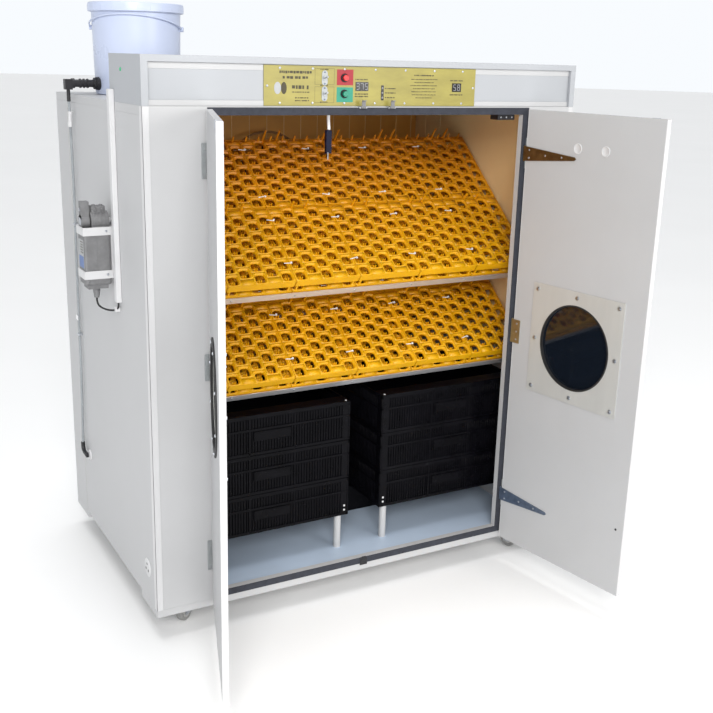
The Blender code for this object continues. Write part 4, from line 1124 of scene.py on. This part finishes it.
def build_pail_lid():
    low, high = cad_box("pail_lid")
    top = high.z - low.z
    bm = bmesh.new()
    lathe(bm, [(0.0, 0.006), (0.141, 0.006), (0.141, 0.0205), (0.149, 0.0205), (0.149, 0.0004),
               (0.1545, 0.0), (0.157, 0.002), (0.157, top - 0.0065), (0.156, top - 0.002),
               (0.153, top), (0.143, top), (0.1405, top - 0.0018), (0.139, top - 0.0085),
               (0.125, top - 0.009), (0.1235, top - 0.0075), (0.1205, top - 0.0075),
               (0.119, top - 0.009), (0.0, top - 0.009)],
          96, Matrix.Translation((PAIL_X, PAIL_Y, low.z)))
    for k in range(LID_RIBS):
        turn = Matrix.Rotation(2 * math.pi * k / LID_RIBS, 3, "Z")
        at = Vector((PAIL_X, PAIL_Y, low.z)) + turn @ Vector((0.1568, 0, 0.004))
        rod(bm, at, at + Vector((0, 0, top - 0.012)), 0.0009, 6)
    lid = make("roof_pail_lid", bm, PAIL, "pail_lid")
    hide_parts("pail_lid")


def build_hose_fittings():
    """Nuts of the pail's outlet, and the hose's clips, inlet, tag and connector."""
    bm = bmesh.new()
    bmesh.ops.create_cone(bm, cap_ends=True, segments=6, radius1=0.0185, radius2=0.0185, depth=0.011,
                          matrix=aim((-0.678, OUTLET_Y, OUTLET_Z), (-1, 0, 0)))
    for x, long, radius in ((-0.7, 0.006, 0.015), (-0.712, 0.006, 0.015), (-0.724, 0.006, 0.015),
                            (-0.746, 0.01, 0.0158)):
        rod(bm, (x, OUTLET_Y, OUTLET_Z), (x - long, OUTLET_Y, OUTLET_Z), radius, 24)
    make("outlet_nuts", bm, BLACK, edge=0.0008)
    boxes("hose_clips", [((-HALF - 0.015, y - 0.01, z - 0.004), (-HALF - 0.0002, y + 0.01, z + 0.004))
                         for y, z in ((0.272, 1.099), (0.29, 0.704))],
          ZINC, edge=0.001)
    turned("inlet_disc", [(0, 0), (0.0197, 0), (0.0197, 0.005), (0.018, 0.0074), (0, 0.0074)], 36,
           [(-HALF - 0.0001, 0.256, 0.256)], (-1, 0, 0), TRIM)
    boxes("hose_tag", [((-HALF - 0.016, 0.276, 0.758), (-HALF - 0.0142, 0.3, 0.774))],
          TIE, edge=0.0004)
    bm = bmesh.new()
    lathe(bm, [(0, 0), (0.0072, 0), (0.0078, 0.004), (0.0078, 0.012), (0.006, 0.016), (0.006, 0.04),
               (0.0078, 0.044), (0.0072, 0.05), (0, 0.05)], 24,
          Matrix.Translation((-0.7655, 0.244, 1.428)) @ Matrix.Rotation(math.radians(9), 4, "X"))
    make("hose_connector", bm, TRIM)


build_pail()
build_pail_lid()
build_hose_fittings()


# ------------ castors
CASTOR_TOP = -0.0243
CASTOR_AXLE = (0.024, 0, -0.083 + 0.0325)


def build_castor(corner, sx, sy, turn):
    place = (Matrix.Translation((sx * 0.65, sy * (BACK - 0.08), CASTOR_TOP))
             @ Matrix.Rotation(math.radians(turn), 4, "Z"))
    axle = place @ Matrix.Translation(CASTOR_AXLE) @ Matrix.Rotation(math.pi / 2, 4, "X")
    bm = bmesh.new()
    ring(bm, [(0.0205, -0.0112), (0.029, -0.0116), (0.0316, -0.0095), (0.0325, -0.004), (0.0325, 0.004),
              (0.0316, 0.0095), (0.029, 0.0116), (0.0205, 0.0112)], 64, axle)
    tyre = make(f"castor_tread_{corner}", bm, TYRE, f"wheel_{corner}")
    bm = bmesh.new()
    ring(bm, [(0.0042, -0.0118), (0.012, -0.0118), (0.013, -0.008), (0.019, -0.008), (0.0203, -0.011),
              (0.0206, -0.011), (0.0206, 0.011), (0.0203, 0.011), (0.019, 0.008), (0.013, 0.008),
              (0.012, 0.0118), (0.0042, 0.0118)], 48, axle)
    for k in range(5):
        spoke = axle @ Matrix.Rotation(2 * math.pi * k / 5, 4, "Z")
        made = box(bm, (0.0125, -0.0012, -0.0105), (0.0195, 0.0012, 0.0105))
        bmesh.ops.transform(bm, matrix=spoke, verts=made)
    make(f"castor_centre_{corner}", bm, HUB, f"wheel_{corner}")
    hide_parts(f"castor_wheel_{corner}")
    bm = bmesh.new()
    for s in (-1, 1):
        at = place @ (Vector(CASTOR_AXLE) + Vector((0, s * 0.016, 0)))
        outwards = place.to_3x3() @ Vector((0, s, 0))
        rod(bm, at, at + outwards * 0.0032, 0.0058, 6)
    make(f"axle_nuts_{corner}", bm, ZINC, f"castor_{corner}")


build_castor("front_left", -1, -1, 38.0)
build_castor("front_right", 1, -1, -72.0)
build_castor("rear_left", -1, 1, 120.0)
build_castor("rear_right", 1, 1, 160.0)


# ------------ probe lead
def build_probe():
    low, high = cad_box("sensor_probe")
    x = (low.x + high.x) / 2
    y = (low.y + high.y) / 2
    wire("probe_lead", smooth_route([(x + 0.001, y, low.z + 0.072), (x + 0.001, y, CEILING - 0.04),
                                     (x, y + 0.001, CEILING - 0.016), (x, y + 0.001, CEILING - 0.003)]),
         0.005, TIE)
    bm = bmesh.new()
    rod(bm, (x - 0.004, y - 0.0065, low.z + 0.004), (x - 0.004, y - 0.0065, low.z - 0.018), 0.0022, 10)
    make("probe_tip", bm, ZINC)


build_probe()


# ------------ studio
STAGE_RADIUS = 80.0
LIGHT_TARGET = Vector((0.0, 0.0, 0.8))
SKY_COLOR = (0.94, 0.97, 1.0, 1.0)
SKY_FADE = {"From_Min": 0.06, "From_Max": 0.2, "To_Min": 1.0, "To_Max": 0.39}
OVERHEAD_POWER = 1.75
OVERHEAD_SPREAD = math.radians(40)


def build_floor():
    bm = bmesh.new()
    bmesh.ops.create_circle(bm, cap_ends=True, segments=96, radius=STAGE_RADIUS,
                            matrix=Matrix.Translation((0, 0, FLOOR_Z)))
    mesh = bpy.data.meshes.new("studio_floor")
    bm.to_mesh(mesh)
    bm.free()
    ground = material("studio_floor", (0.9, 0.9, 0.9), 0.75, tint=0.01, patch=0.5, grain=60, bump=0.02)
    mesh.materials.append(ground)
    floor = bpy.data.objects.new("studio_floor", mesh)
    bpy.context.scene.collection.objects.link(floor)


def build_sky():
    """A pale world, brightest at the horizon and dimmer overhead."""
    world = bpy.data.worlds.new("studio")
    world.use_nodes = True
    tree = world.node_tree
    background = tree.nodes["Background"]
    background.inputs["Color"].default_value = SKY_COLOR
    split = node(tree, "ShaderNodeSeparateXYZ")
    fade = node(tree, "ShaderNodeMapRange", **SKY_FADE)
    tree.links.new(node(tree, "ShaderNodeTexCoord").outputs["Generated"], split.inputs["Vector"])
    tree.links.new(split.outputs["Z"], fade.inputs["Value"])
    tree.links.new(fade.outputs["Result"], background.inputs["Strength"])
    bpy.context.scene.world = world


def area_light(name, place, size, power, color):
    """A rectangular light aimed at the middle of the cabinet."""
    data = bpy.data.lights.new(name, "AREA")
    data.shape = "RECTANGLE"
    data.size = size[0]
    data.size_y = size[1]
    data.energy = power
    data.color = color
    lamp = bpy.data.objects.new(name, data)
    lamp.location = place
    lamp.rotation_euler = (LIGHT_TARGET - Vector(place)).to_track_quat("-Z", "Y").to_euler()
    bpy.context.scene.collection.objects.link(lamp)


def overhead_light():
    data = bpy.data.lights.new("overhead", "SUN")
    data.energy = OVERHEAD_POWER
    data.angle = OVERHEAD_SPREAD
    lamp = bpy.data.objects.new("overhead", data)
    lamp.location = (0.0, 0.0, 5.0)
    bpy.context.scene.collection.objects.link(lamp)


build_floor()
build_sky()
area_light("key", (-3.0, -6.2, 3.8), (3.0, 2.4), 350, (1.0, 0.99, 0.97))
area_light("fill", (2.2, -6.2, 2.4), (2.4, 2.0), 110, (1.0, 0.97, 0.92))
overhead_light()
bpy.context.scene.view_settings.view_transform = "Standard"
